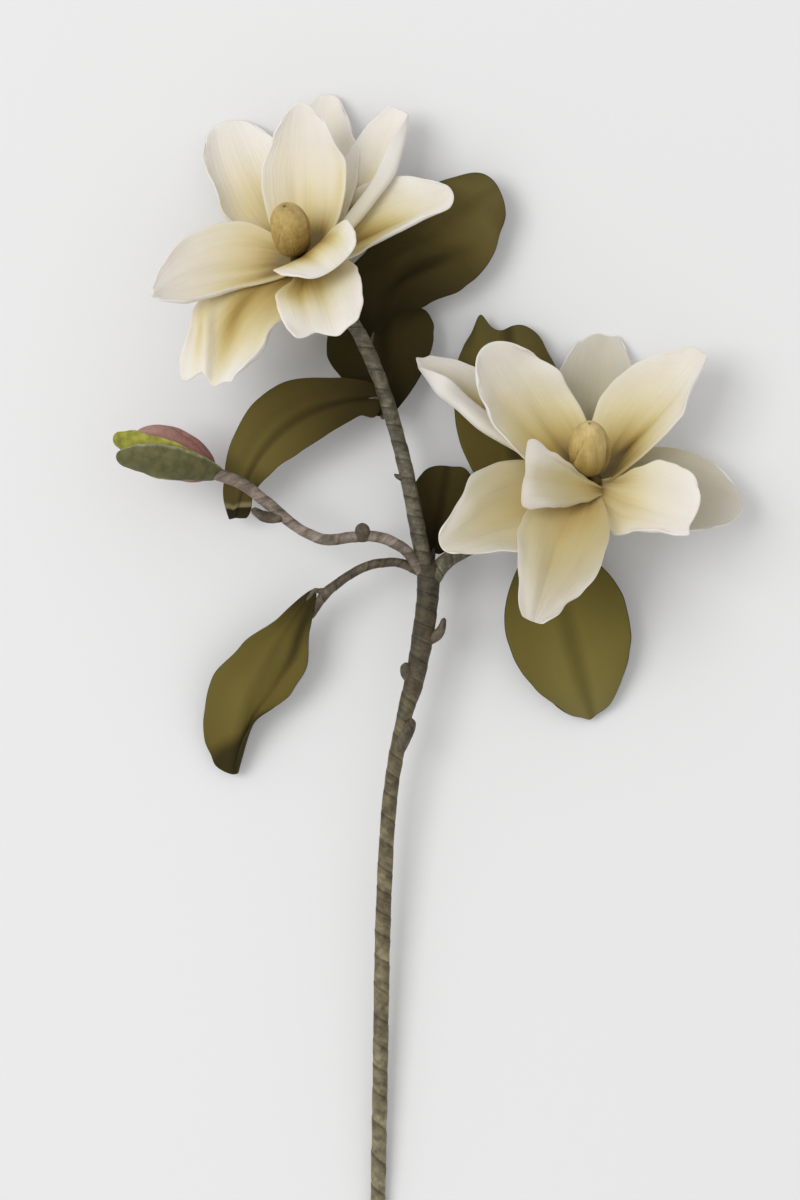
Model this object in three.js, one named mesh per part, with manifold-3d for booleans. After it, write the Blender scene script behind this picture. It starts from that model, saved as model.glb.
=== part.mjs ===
// A magnolia branch, cut and laid down on its back.
// One wrapped stem forks into two flowering branches, a bud twig and a leaf twig.
// It carries two open blooms, one opening bud and seven leaves.
// Millimetres, +Z up. The stem runs along +Y and the blooms look up and towards +Y.
// The origin lies on the resting surface, under the middle of the outline.

import * as THREE from 'three';
import { mergeVertices } from 'three/addons/utils/BufferGeometryUtils.js';
import Module from 'manifold-3d';

const wasm = await Module();
wasm.setup();

const v = (x, y, z) => new THREE.Vector3(x, y, z);
const radians = THREE.MathUtils.degToRad;

// Driving dimensions
const CLEARANCE = 0.35;
const PETAL_THICKNESS = 2;
const LEAF_THICKNESS = 1.4;
const BRACT_THICKNESS = 1.8;
const PETAL_RING = 7;
const RECEPTACLE_RADIUS = 11;
const RECEPTACLE_FOOT_RADIUS = 8;
const RECEPTACLE_DEPTH = 9;
const RECEPTACLE_RISE = 4;
const STALK_SEAT = 8;
const FLOOR_DEPTH = 60;
const FLOOR_SIZE = 1200;

// A bud or heart: how many petals wrap it, how far they step and turn, and how thin its two ends are
const EGG_WRAPS = 3;
const EGG_RELIEF = 0.07;
const EGG_TWIST = 0.5;
const EGG_ROOT_SHARE = 0.35;
const EGG_TIP_SHARE = 0.08;
const EGG_SEAM_SIDE = v(0.2, 0, 1);

// A leaf's stalk: its radii from the wood into the blade, and how far along the blade it ends
const STALK_RADII = [2.4, 2.2, 2, 1.4];
const STALK_NECK = 0.6;
const STALK_END = 0.08;

// How finely each form is divided
const PETAL_ROWS = 8;
const WAVED_ROWS = 10;
const LEAF_ROWS = 10;
const BRACT_ROWS = 8;
const BLADE_COLUMNS = 6;
const STEM_SIDES = 9;
const TWIG_SIDES = 8;
const SNAG_STEPS = 3;
const STALK_STEPS = 5;
const EGG_SIDES = 15;
const EGG_RINGS = 8;
const WELD_DISTANCE = 1e-4;

const COLOURS = {
  wood: 0x61594a, leaf: 0x5e5430, petal: 0xe2dac6, heart: 0xb5935a, bud: 0x966c62,
  lime: 0x9d9a39, sage: 0x716c42,
};

// Where each bloom sits and which way it looks
const UPPER_BLOOM = { centre: v(-100.5, 315, 66), axis: v(-0.14, 0.66, 0.74).normalize() };
const LOWER_BLOOM = { centre: v(129, 137, 70), axis: v(0, 0.74, 0.67).normalize() };
const WHORL_LIFT = { outer: -4, middle: -1, inner: 2 };

// A value that eases from 0 to 1
function eased(x) {
  const t = THREE.MathUtils.clamp(x, 0, 1);
  return t * t * (3 - 2 * t);
}

// The part of a vector that is square to a unit direction, as a unit vector
function squared(vector, direction) {
  return vector.clone().addScaledVector(direction, -vector.dot(direction)).normalize();
}

// A value that eases from each [place, value] to the next
function softSteps(s, places) {
  const found = places.findIndex(([place]) => place > s);
  const next = found < 0 ? places.length - 1 : Math.max(found, 1);
  const [[from, before], [to, after]] = [places[next - 1], places[next]];
  return THREE.MathUtils.lerp(before, after, eased((s - from) / (to - from)));
}

// A smooth curve from the base to the tip of a blade, and straight on past them
const SPINE_KNOTS = [0.33, 0.67];
const SPINE_REACH = 4 / 3;
const SPINE_STEP = 0.001;
function spine(base, tip, bulge) {
  const chord = tip.clone().sub(base);
  const knots = SPINE_KNOTS.map((share) =>
    base.clone().addScaledVector(chord, share).addScaledVector(bulge, SPINE_REACH));
  const curve = new THREE.CubicBezierCurve3(base, ...knots, tip);
  return (s) => {
    const t = THREE.MathUtils.clamp(s, 0, 1);
    const [before, after] = [Math.max(t - SPINE_STEP, 0), Math.min(t + SPINE_STEP, 1)];
    const speed = curve.getPoint(after).sub(curve.getPoint(before)).divideScalar(after - before);
    return { point: curve.getPoint(t).addScaledVector(speed, s - t), tangent: speed.normalize() };
  };
}

// The middle line with its end bent towards the blade's face, on an arc from a share of its length on
function bent(line, face, length, [degrees, start]) {
  if (degrees === 0) return line;
  const { point: corner, tangent: heading } = line(start);
  const normal = squared(face, heading);
  const radius = (1 - start) * length / radians(degrees);
  return (s) => {
    if (s <= start) return line(s);
    const angle = radians(degrees) * (s - start) / (1 - start);
    const point = corner.clone().addScaledVector(heading, radius * Math.sin(angle));
    point.addScaledVector(normal, radius * (1 - Math.cos(angle)));
    const tangent = heading.clone().multiplyScalar(Math.cos(angle));
    return { point, tangent: tangent.addScaledVector(normal, Math.sin(angle)) };
  };
}

// How wide a blade is at a share s of its length, as a share of its greatest width
const SWELLING = 0.8;
const NARROWING = 2.2;
function widthShare(s, { foot, widest, end }) {
  if (s < widest) return foot + (1 - foot) * Math.sin(Math.PI / 2 * s / widest) ** SWELLING;
  return 1 - (1 - end) * ((s - widest) / (1 - widest)) ** NARROWING;
}

// How much of an edge's curl a blade has at a share s of its length: most of it in the middle
const CURL_LAW = { stretch: 1.05, lead: 1.2, fullness: 0.6 };
function curlShare(s) {
  const place = Math.min(s * CURL_LAW.stretch, 1) ** CURL_LAW.lead;
  return Math.sin(Math.PI * place) ** CURL_LAW.fullness;
}

// Half of a blade's section: steps outwards from the spine, each leaning more than the last
function halfSection(half, keel, cup, curl, count) {
  const points = [[0, 0]];
  let [across, up] = [0, 0];
  for (let j = 1; j <= count; j++) {
    const t = (j - 0.5) / count;
    const lean = radians(keel + cup * t + curl * eased(2 * t - 1));
    across += Math.cos(lean) * half / count;
    up += Math.sin(lean) * half / count;
    points.push([across, up]);
  }
  return points;
}

// What a petal or leaf has where its own description says nothing.
// belly bows it away from its upper face and sway to its side; roll turns it about its own length.
// cup and keel hollow its section; left and right curl its two edges; lop shifts its width to the right.
// leftWidths and rightWidths change its outline, as [along, factor]; blunt rounds its tip, slant cuts it
// askew and tips adds points to it, as [across, millimetres, width share].
// hook bends its end up, as [degrees, start]; waves ruffle its edges.
const PLAIN_BLADE = {
  rows: PETAL_ROWS, width: 70, foot: 0.4, widest: 0.58, end: 0.6, lop: 0, belly: 0, sway: 0, roll: 0,
  cup: 20, keel: 0, left: 0, right: 0, leftWidths: [[0, 1], [1, 1]], rightWidths: [[0, 1], [1, 1]],
  blunt: 0.6, slant: 0, tips: [], hook: [0, 1], waves: 0, waveCount: 2.5,
};

// How far a point moves along its blade, for a rounded, slanted or pointed tip
const TIP_ROUNDNESS = 0.97;
function tipShift(b, s, t) {
  const rounding = b.blunt * b.width / 2 * b.end * (1 - Math.sqrt(1 - TIP_ROUNDNESS * t * t));
  const peaks = b.tips.map(([at, reach, wide]) => reach * Math.exp(-(((t - at) / wide) ** 2)));
  const peak = peaks.reduce((sum, next) => sum + next, 0);
  return s ** 5 * peak - s ** 3 * rounding + s * s * t * b.slant;
}

// How far a wave lifts a point: nothing at the foot and the middle line, most at the edges of the tip
const WAVE_LAW = { along: 1.2, across: 2.2, shift: 1.9 };
function ripple(b, s, t) {
  const phase = 2 * Math.PI * b.waveCount * s + (t > 0 ? WAVE_LAW.shift : 0);
  return b.waves * s ** WAVE_LAW.along * Math.abs(t) ** WAVE_LAW.across * Math.sin(phase);
}

// The middle surface of a petal or leaf as rows of points, foot to tip and left to right
function bladeGrid(base, tip, up, description) {
  const b = { ...PLAIN_BLADE, ...description };
  const chord = tip.clone().sub(base);
  const length = chord.length();
  const along = chord.clone().normalize();
  const face = squared(up, along).applyAxisAngle(along, radians(b.roll));
  const side = along.clone().cross(face);
  const bulge = face.clone().multiplyScalar(-b.belly).addScaledVector(side, b.sway);
  const line = bent(spine(base, tip, bulge), face, length, b.hook);
  const middle = BLADE_COLUMNS / 2;
  const grid = [];
  for (let i = 0; i <= b.rows; i++) {
    const s = i / b.rows;
    const half = b.width / 2 * widthShare(s, b);
    const [left, right] = [half * (1 - b.lop) * softSteps(s, b.leftWidths),
      half * (1 + b.lop) * softSteps(s, b.rightWidths)];
    const sections = [
      halfSection(left, b.keel, b.cup, b.left * curlShare(s), middle),
      halfSection(right, b.keel, b.cup, b.right * curlShare(s), middle),
    ];
    const row = [];
    for (let j = 0; j <= BLADE_COLUMNS; j++) {
      const t = (j - middle) / middle;
      const hand = t < 0 ? 0 : 1;
      const [across, rise] = sections[hand][Math.abs(j - middle)];
      const { point, tangent } = line(s + tipShift(b, s, t) / length);
      const sideways = tangent.clone().cross(face).normalize();
      const normal = sideways.clone().cross(tangent);
      point.addScaledVector(sideways, hand ? across : -across);
      row.push(point.addScaledVector(normal, rise + ripple(b, s, t)));
    }
    grid.push(row);
  }
  return grid;
}

// A closed geometry from points and triangles
function closedGeometry(points, triangles) {
  const geometry = new THREE.BufferGeometry();
  geometry.setAttribute('position', new THREE.Float32BufferAttribute(points.flatMap((p) => p.toArray()), 3));
  geometry.setIndex(triangles.flat());
  return geometry;
}

// The grid's points pushed outwards at its border, for the space that a neighbour keeps clear
function widened(grid, by) {
  const last = grid.length - 1;
  const end = grid[0].length - 1;
  const pushed = (p, inner) => p.clone().addScaledVector(p.clone().sub(inner).normalize(), by);
  return grid.map((row, i) => row.map((p, j) => {
    if (i === 0) return pushed(p, grid[1][j]);
    if (i === last) return pushed(p, grid[last - 1][j]);
    if (j === 0) return pushed(p, row[1]);
    if (j === end) return pushed(p, row[end - 1]);
    return p.clone();
  }));
}

// A grid of points thickened to a closed sheet, its two faces split into triangles alike
function sheet(grid, thickness) {
  const rows = grid.length;
  const columns = grid[0].length;
  const clampRow = (i) => THREE.MathUtils.clamp(i, 0, rows - 1);
  const clampColumn = (j) => THREE.MathUtils.clamp(j, 0, columns - 1);
  const normalAt = (i, j) => {
    const along = grid[clampRow(i + 1)][j].clone().sub(grid[clampRow(i - 1)][j]);
    const across = grid[i][clampColumn(j + 1)].clone().sub(grid[i][clampColumn(j - 1)]);
    return across.cross(along).normalize();
  };
  const face = (offset) => grid.flatMap((row, i) => row.map((p, j) =>
    p.clone().addScaledVector(normalAt(i, j), offset)));
  const points = [...face(thickness / 2), ...face(-thickness / 2)];
  const under = rows * columns;
  const index = (i, j) => i * columns + j;
  const triangles = [];
  for (let i = 0; i < rows - 1; i++) {
    for (let j = 0; j < columns - 1; j++) {
      const [a, b, c, d] = [index(i, j), index(i, j + 1), index(i + 1, j + 1), index(i + 1, j)];
      triangles.push([a, b, c], [a, c, d]);
      triangles.push([a + under, c + under, b + under], [a + under, d + under, c + under]);
    }
  }
  const border = [];
  for (let j = 0; j < columns - 1; j++) border.push(index(0, j));
  for (let i = 0; i < rows - 1; i++) border.push(index(i, columns - 1));
  for (let j = columns - 1; j > 0; j--) border.push(index(rows - 1, j));
  for (let i = rows - 1; i > 0; i--) border.push(index(i, 0));
  border.forEach((a, k) => {
    const b = border[(k + 1) % border.length];
    triangles.push([a, a + under, b + under], [a, b + under, b]);
  });
  return closedGeometry(points, triangles);
}

// Rings of points joined to a closed body, with a flat fan at each end
function loft(rings) {
  const sides = rings[0].length;
  const centre = (ring) => ring.reduce((sum, p) => sum.add(p), v(0, 0, 0)).divideScalar(sides);
  const points = [...rings.flat(), centre(rings[0]), centre(rings.at(-1))];
  const [first, last] = [points.length - 2, points.length - 1];
  const triangles = [];
  for (let k = 0; k < sides; k++) {
    const next = (k + 1) % sides;
    for (let i = 0; i < rings.length - 1; i++) {
      const [a, b] = [i * sides + k, i * sides + next];
      triangles.push([a, b, b + sides], [a, b + sides, a + sides]);
    }
    triangles.push([first, next, k]);
    triangles.push([last, last - 1 - sides + k, last - 1 - sides + next]);
  }
  return closedGeometry(points, triangles);
}

// A round stem through a list of places, each with its own radius
function tube(places, steps, grow = 0, sides = STEM_SIDES) {
  const curve = new THREE.CatmullRomCurve3(places.map(([p]) => p), false, 'catmullrom');
  const spans = places.length - 1;
  let normal = v(0, 0, 1);
  const rings = [];
  for (let i = 0; i <= steps; i++) {
    const s = i / steps;
    const k = Math.min(Math.floor(s * spans), spans - 1);
    const radius = THREE.MathUtils.lerp(places[k][1], places[k + 1][1], s * spans - k) + grow;
    const tangent = curve.getTangent(s);
    normal = squared(normal, tangent);
    const side = tangent.clone().cross(normal);
    const middle = curve.getPoint(s);
    if (i === 0) middle.addScaledVector(tangent, -grow);
    if (i === steps) middle.addScaledVector(tangent, grow);
    rings.push(Array.from({ length: sides }, (_, n) => {
      const angle = 2 * Math.PI * n / sides;
      return middle.clone().addScaledVector(normal, radius * Math.cos(angle))
        .addScaledVector(side, radius * Math.sin(angle));
    }));
  }
  return loft(rings);
}

// A geometry as a solid that can be joined and cut
function solid(geometry) {
  const bare = geometry.clone().deleteAttribute('normal').deleteAttribute('uv');
  const merged = mergeVertices(bare, WELD_DISTANCE);
  const vertProperties = Float32Array.from(merged.attributes.position.array);
  const triVerts = Uint32Array.from(merged.index.array);
  return new wasm.Manifold(new wasm.Mesh({ numProp: 3, vertProperties, triVerts }));
}

// Solids joined in one
function joined(solids) {
  return solids.reduce((sum, next) => sum.add(next));
}

// The largest body of a solid, without the loose scraps that a cut leaves
function largest(body) {
  const pieces = body.decompose();
  return pieces.reduce((best, piece) => (piece.volume() > best.volume() ? piece : best));
}

// Everything below the resting surface
function belowFloor() {
  const box = new THREE.BoxGeometry(FLOOR_SIZE, FLOOR_SIZE, FLOOR_DEPTH);
  return solid(box.translate(0, 0, -FLOOR_DEPTH / 2));
}

// A named mesh from a solid
function named(name, body, colour, roughness) {
  const { vertProperties, triVerts } = body.getMesh();
  const geometry = new THREE.BufferGeometry();
  geometry.setAttribute('position', new THREE.BufferAttribute(Float32Array.from(vertProperties), 3));
  geometry.setIndex(new THREE.BufferAttribute(Uint32Array.from(triVerts), 1));
  geometry.computeVertexNormals();
  const material = new THREE.MeshStandardMaterial({ color: colour, roughness, metalness: 0 });
  const mesh = new THREE.Mesh(geometry, material);
  mesh.name = name;
  return mesh;
}

// The nine petals of the upper bloom, outer whorl first
const UPPER_PETALS = [
  { whorl: 'outer', tip: v(-81, 458, 6), width: 68, belly: 12, cup: 34, blunt: 0.9, widest: 0.5, end: 0.46,
    rightWidths: [[0, 1], [0.7, 1.08], [0.85, 0.9], [1, 0.9]] },
  { whorl: 'outer', tip: v(20.5, 368, 66), width: 60, belly: 10, sway: -9, cup: 26, blunt: 0.7, roll: 12,
    widest: 0.55, end: 0.5, right: 100, leftWidths: [[0, 1], [0.6, 1.2], [1, 0.9]] },
  { whorl: 'outer', tip: v(-178, 221, 92), width: 66, belly: -8, sway: 9, cup: 6, blunt: 0.15, roll: -8,
    widest: 0.55, end: 0.6, left: 70, leftWidths: [[0, 1], [0.4, 1.2], [0.75, 1.3], [1, 1]],
    rightWidths: [[0, 1], [0.6, 1.12], [0.8, 0.95], [1, 1.1]], tips: [[0.75, 8, 0.3], [-0.35, 5, 0.3]],
    waves: 2.5, rows: WAVED_ROWS },
  { whorl: 'middle', tip: v(-164.5, 436.5, 0.4), width: 72, belly: 4, sway: -6, cup: 32, blunt: 1,
    foot: 0.35, widest: 0.68, end: 0.66 },
  { whorl: 'middle', tip: v(-20.5, 441, 32), width: 64, belly: 10, sway: 6, cup: 24, blunt: 0.2, foot: 0.35,
    end: 0.4, right: 110, slant: -3, rightWidths: [[0, 0.85], [0.3, 0.7], [0.65, 0.85], [1, 0.65]] },
  { whorl: 'middle', tip: v(-76, 252, 140), width: 76, belly: -12, cup: 16, blunt: 0.22, foot: 0.35,
    end: 0.82, leftWidths: [[0, 1.15], [0.6, 0.96], [1, 0.8]],
    rightWidths: [[0, 0.4], [0.25, 0.45], [0.55, 0.9], [1, 1]], tips: [[-0.2, 3, 0.3], [0.4, -4, 0.3]],
    waves: 2.5, waveCount: 2, rows: WAVED_ROWS },
  { whorl: 'inner', tip: v(-101.5, 442.5, 66), width: 74, belly: 14, cup: 34, blunt: 0.7, foot: 0.45,
    widest: 0.5, end: 0.36, tips: [[-0.2, 2, 0.28]] },
  { whorl: 'inner', tip: v(-219, 283, 106), width: 78, belly: 12, sway: 8, cup: 26, blunt: 0.3, foot: 0.45,
    roll: -28, widest: 0.36, end: 0.14, left: 90, lop: 0.08, tips: [[0, 4, 0.28]], hook: [20, 0.85],
    rightWidths: [[0, 0.8], [0.25, 1], [1, 1]] },
  { whorl: 'inner', tip: v(-72, 305, 136), width: 72, belly: -14, cup: 16, blunt: 0.35, foot: 0.35, roll: 8,
    end: 0.72, leftWidths: [[0, 0.9], [0.7, 1], [1, 1.05]], hook: [-50, 0.8], waves: 2, waveCount: 2,
    rows: WAVED_ROWS },
];

// The nine petals of the lower bloom
const LOWER_PETALS = [
  { whorl: 'outer', tip: v(141.5, 261.5, 0.4), width: 68, belly: 8, cup: 28, blunt: 0.8 },
  { whorl: 'outer', tip: v(253, 115, 40), width: 76, belly: 6, sway: -12, cup: 16, blunt: 0.95, roll: 22,
    widest: 0.6 },
  { whorl: 'outer', tip: v(9.7, 86, 94), width: 82, belly: -6, sway: 2, cup: 14, blunt: 0.5, roll: -22,
    widest: 0.5, end: 0.35, leftWidths: [[0, 1], [0.4, 0.9], [0.65, 0.65], [1, 0.6]],
    rightWidths: [[0, 1], [0.55, 1.08], [0.8, 0.8], [1, 0.8]], waves: 2, waveCount: 3, rows: WAVED_ROWS },
  { whorl: 'middle', tip: v(-6, 237.5, 38), width: 66, belly: 10, sway: 4, cup: 34, blunt: 0.4, end: 0.35,
    left: 110, leftWidths: [[0, 0.75], [0.35, 0.68], [0.6, 0.8], [1, 0.7]], tips: [[0, 5, 0.28]] },
  { whorl: 'outer', tip: v(84, 26.5, 114), width: 78, belly: -14, sway: -2, cup: 14, blunt: 0.15, foot: 0.35,
    widest: 0.42, end: 0.3, leftWidths: [[0, 0.8], [0.6, 0.97], [0.84, 0.7], [1, 0.6]],
    rightWidths: [[0, 1.1], [0.65, 0.85], [1, 1]], waves: 3, rows: WAVED_ROWS },
  { whorl: 'middle', tip: v(220, 245, 52), width: 64, belly: 10, sway: -8, cup: 28, blunt: 0.12, foot: 0.35,
    end: 0.34, leftWidths: [[0, 1.1], [0.5, 1.3], [0.7, 1.2], [1, 1]], slant: 2 },
  { whorl: 'inner', tip: v(44.5, 248, 66), width: 90, belly: 12, sway: 2, cup: 28, blunt: 0.9, end: 0.58,
    left: 30, waves: 3, rows: WAVED_ROWS },
  { whorl: 'inner', tip: v(211, 110, 98), width: 88, belly: 8, sway: -5, cup: 18, blunt: 0.35, roll: 26,
    widest: 0.55, right: 60, slant: 3, leftWidths: [[0, 0.8], [0.5, 0.84], [1, 0.9]],
    rightWidths: [[0, 0.95], [0.5, 0.8], [1, 0.76]], tips: [[1, 18, 0.35]] },
  { whorl: 'inner', tip: v(73, 143, 112), footTurn: 100, roll: -50, width: 62, belly: -8, cup: 8, blunt: 0.1,
    foot: 0.35, widest: 0.9, end: 0.95, left: -40, leftWidths: [[0, 1], [0.3, 0.8], [1, 0.85]],
    rightWidths: [[0, 0.3], [0.4, 0.5], [0.8, 0.85], [1, 1]], hook: [-60, 0.85], waves: 2, waveCount: 1.8,
    rows: WAVED_ROWS },
];

// One petal of a bloom, its foot sunk in the disc; footTurn sets the foot aside on its ring
function petal({ centre, axis }, { whorl, tip, footTurn = 0, ...shape }) {
  const outwards = squared(tip.clone().sub(centre), axis).applyAxisAngle(axis, radians(footTurn));
  const base = centre.clone().addScaledVector(outwards, PETAL_RING).addScaledVector(axis, WHORL_LIFT[whorl]);
  return solid(sheet(bladeGrid(base, tip, axis, shape), PETAL_THICKNESS));
}

// The disc that a bloom's petals and heart grow from
function receptacle({ centre, axis }) {
  const places = [
    [centre.clone().addScaledVector(axis, -RECEPTACLE_DEPTH), RECEPTACLE_FOOT_RADIUS],
    [centre.clone().addScaledVector(axis, RECEPTACLE_RISE), RECEPTACLE_RADIUS],
  ];
  return solid(tube(places, 2));
}

// A closed egg of wrapped petals on a short neck, its surface stepping up at slightly turning seams
function wrappedEgg({ start, axis, lean, neck, length, radius }, grow = 0) {
  const root = start.clone().addScaledVector(axis, -grow);
  const foot = start.clone().addScaledVector(axis, neck).add(lean);
  const side = EGG_SEAM_SIDE.clone().cross(axis).normalize();
  const other = axis.clone().cross(side);
  const ringAt = (middle, size, s) => Array.from({ length: EGG_SIDES }, (_, n) => {
    const angle = 2 * Math.PI * n / EGG_SIDES;
    const turn = EGG_WRAPS * n / EGG_SIDES + EGG_TWIST * s;
    const step = EGG_RELIEF * ((turn % 1) - 0.5) * Math.sin(Math.PI * s);
    const reach = size * (1 + step) + grow;
    return middle.clone().addScaledVector(side, reach * Math.cos(angle))
      .addScaledVector(other, reach * Math.sin(angle));
  });
  const rings = [ringAt(root, radius * EGG_ROOT_SHARE, 0)];
  for (let i = 1; i < EGG_RINGS; i++) {
    const s = i / EGG_RINGS;
    const size = radius * Math.sqrt(1 - (2 * s - 1) ** 2);
    rings.push(ringAt(foot.clone().addScaledVector(axis, length * s), size, s));
  }
  rings.push(ringAt(foot.clone().addScaledVector(axis, length + grow), radius * EGG_TIP_SHARE, 1));
  return solid(loft(rings));
}

// The closed heart that stands in the middle of a bloom
function heartOf({ centre, axis }, shape) {
  return { ...shape, axis, start: centre.clone().addScaledVector(axis, RECEPTACLE_RISE + CLEARANCE) };
}

const UPPER_HEART = heartOf(UPPER_BLOOM, { lean: v(-4.5, 0, 0), neck: 8, length: 52, radius: 16 });
const LOWER_HEART = heartOf(LOWER_BLOOM, { lean: v(-2, 0, 0), neck: 14, length: 46, radius: 16.5 });

// The places that the wood runs through, with its radius at each
const TRUNK = [
  [v(-41, -459, 5.6), 6], [v(-39, -347, 14), 6.2], [v(-36.5, -215, 24), 6.3], [v(-31, -117, 32), 6],
  [v(-20, -53, 38), 6.2], [v(-11, -20, 40.5), 8], [v(-4, 18, 43), 9], [v(-0.5, 47, 45), 9.4],
  [v(0.5, 73, 46), 9.4],
];
const UPPER_BRANCH = [
  [v(-1, 60, 46), 7.5], [v(-7, 93, 46), 6.5], [v(-19, 153, 46), 6], [v(-32.5, 202, 44), 6],
  [v(-45.5, 238, 43), 6], [v(-61.5, 269, 44), 6], [v(-81, 293, 50), 6],
  [UPPER_BLOOM.centre.clone().addScaledVector(UPPER_BLOOM.axis, -STALK_SEAT), 6.5],
];
const LOWER_BRANCH = [
  [v(1, 60, 46), 7.5], [v(17.5, 78, 46), 6.5], [v(50, 93, 44), 6], [v(90, 101, 46), 6],
  [v(114, 112, 52), 6.3],
  [LOWER_BLOOM.centre.clone().addScaledVector(LOWER_BLOOM.axis, -STALK_SEAT), 6.5],
];
const BUD_TWIG = [
  [v(-2, 64, 46), 5.5], [v(-19, 85, 50), 4.6], [v(-40, 95, 54), 4.4], [v(-61, 95, 55), 4.6],
  [v(-83, 93, 55), 4.4], [v(-105, 102.5, 56), 4.4], [v(-129, 122, 57), 4.8], [v(-149, 137.5, 58), 5],
  [v(-164, 143.5, 59), 4.8], [v(-172, 147, 59), 5.6],
];
const LEAF_TWIG = [
  [v(-2, 66, 44), 5], [v(-24.5, 74.5, 44), 3.8], [v(-48.5, 72, 44), 3.6], [v(-69.5, 60.5, 42), 3.8],
  [v(-86, 46, 38), 4],
];
// Short snags, leaf scars and a knob left on the wood
const SNAGS = [
  [[v(1, 14, 43), 5], [v(10, 18, 45), 4.2], [v(13.5, 27, 47), 2.6]],
  [[v(-10, -19, 40), 6], [v(-18.5, -11, 42), 5], [v(-20, -5, 43), 3]],
  [[v(-22, -62, 37), 5.5], [v(-14.5, -55, 39), 4.6], [v(-12.5, -48, 41), 3]],
  [[v(-53, 95, 54), 5], [v(-53, 101, 57), 5.4], [v(-53.5, 107, 60), 3.6]],
  [[v(-121, 112, 57), 4.4], [v(-133, 112.5, 59), 4.4], [v(-141, 117, 60), 2.8]],
  [[v(-20, 143, 47), 3.6], [v(-25, 144, 49), 1.8], [v(-27.5, 146, 50), 0.9]],
];

// The limbs, each with the number of steps that follow its bends
const LIMBS = [[TRUNK, 24], [UPPER_BRANCH, 15], [LOWER_BRANCH, 10], [BUD_TWIG, 16], [LEAF_TWIG, 8]];

// All the wood, thicker all over by grow
function wood(grow = 0) {
  const limbs = LIMBS.map(([places, steps]) => solid(tube(places, steps, grow)));
  const snags = SNAGS.map((places) => solid(tube(places, SNAG_STEPS, grow, TWIG_SIDES)));
  return joined([...limbs, ...snags]);
}

// Each leaf: where its stalk leaves the wood, and the foot and tip of its blade
const LEAVES = {
  leaf_upper_right: { stalk: v(-46, 238, 43), footAt: v(-47, 252, 39), tip: v(56.7, 380.4, 26), width: 84,
    widest: 0.62, end: 0.62, belly: 8, sway: -16, cup: 10, keel: -8,
    leftWidths: [[0, 1], [0.1, 1.45], [0.2, 1.42], [0.4, 0.95], [0.55, 0.82], [1, 0.8]],
    rightWidths: [[0, 0.3], [0.1, 0.3], [0.3, 0.92], [0.5, 1.14], [0.8, 1.18], [1, 1.1]] },
  leaf_upper_back: { stalk: v(-30, 193, 44), footAt: v(-37, 193, 33), tip: v(-36, 286.5, 14), width: 84,
    widest: 0.8, end: 0.85, belly: 4, cup: 8, keel: 6, blunt: 0.25,
    leftWidths: [[0, 1], [0.3, 1.15], [0.5, 1.24], [0.7, 1.12], [1, 1]] },
  leaf_upper_left: { stalk: v(-31, 201, 44), footAt: v(-38, 208, 38), tip: v(-154.3, 110, 26), width: 62,
    widest: 0.5, end: 0.3, belly: -8, sway: 32, cup: 10, keel: 12, blunt: 0.3, lop: -0.12,
    leftWidths: [[0, 1.6], [0.1, 1.05], [0.4, 0.9], [0.8, 0.66], [0.9, 0.46], [1, 0.5]],
    rightWidths: [[0, 1.5], [0.2, 1.05], [0.4, 1.14], [0.65, 0.95], [0.8, 1.1], [1, 0.8]] },
  leaf_lower_back: { stalk: v(66, 97, 45), footAt: v(74, 109, 35), tip: v(65.3, 267.8, 10), width: 91,
    foot: 0.2, widest: 0.55, end: 0.72, belly: 6, cup: 10, keel: 8, blunt: 0.5,
    rightWidths: [[0, 1], [1, 0.75]], tips: [[-0.72, 7, 0.2]] },
  leaf_lower_front: { stalk: v(88, 101, 46), footAt: v(94.5, 89, 37), tip: v(134, -50, 8), width: 104,
    foot: 0.15, widest: 0.5, end: 0.45, belly: 6, cup: 8, keel: 10, blunt: 0.7, tips: [[0.1, 3, 0.3]] },
  leaf_fork: { stalk: v(2, 66, 46), footAt: v(4, 82, 35), tip: v(15.5, 153.5, 20), width: 52,
    foot: 0.2, widest: 0.55, end: 0.75, belly: 4, cup: 8, keel: 6, rightWidths: [[0, 1], [0.6, 1], [1, 1.2]],
    tips: [[0.6, 3, 0.3]] },
  leaf_twig: { stalk: v(-80, 52, 40), footAt: v(-90.5, 47, 36), tip: v(-160, -98, 10), width: 75,
    widest: 0.5, end: 0.6, belly: -6, sway: 10.4, cup: 14, keel: -12, blunt: 0.4,
    leftWidths: [[0, 0.5], [0.15, 0.66], [0.33, 0.87], [0.5, 0.75], [0.72, 0.34], [1, 0.3]],
    rightWidths: [[0, 0.35], [0.18, 0.46], [0.4, 0.78], [0.6, 1], [0.9, 1], [1, 0.8]] },
};
const LEAF_LIKE = { rows: LEAF_ROWS, foot: 0.12, waves: 2, waveCount: 1.6 };

// One leaf: a creased blade on a short stalk
function leaf({ stalk, footAt, tip, ...shape }) {
  const blade = bladeGrid(footAt, tip, v(0, 0, 1), { ...LEAF_LIKE, ...shape });
  const [neck, end] = [stalk.clone().lerp(footAt, STALK_NECK), footAt.clone().lerp(tip, STALK_END)];
  const middles = [stalk, neck, footAt, end];
  const stem = tube(middles.map((p, n) => [p, STALK_RADII[n]]), STALK_STEPS, 0, TWIG_SIDES);
  return solid(sheet(blade, LEAF_THICKNESS)).add(solid(stem));
}

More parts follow.
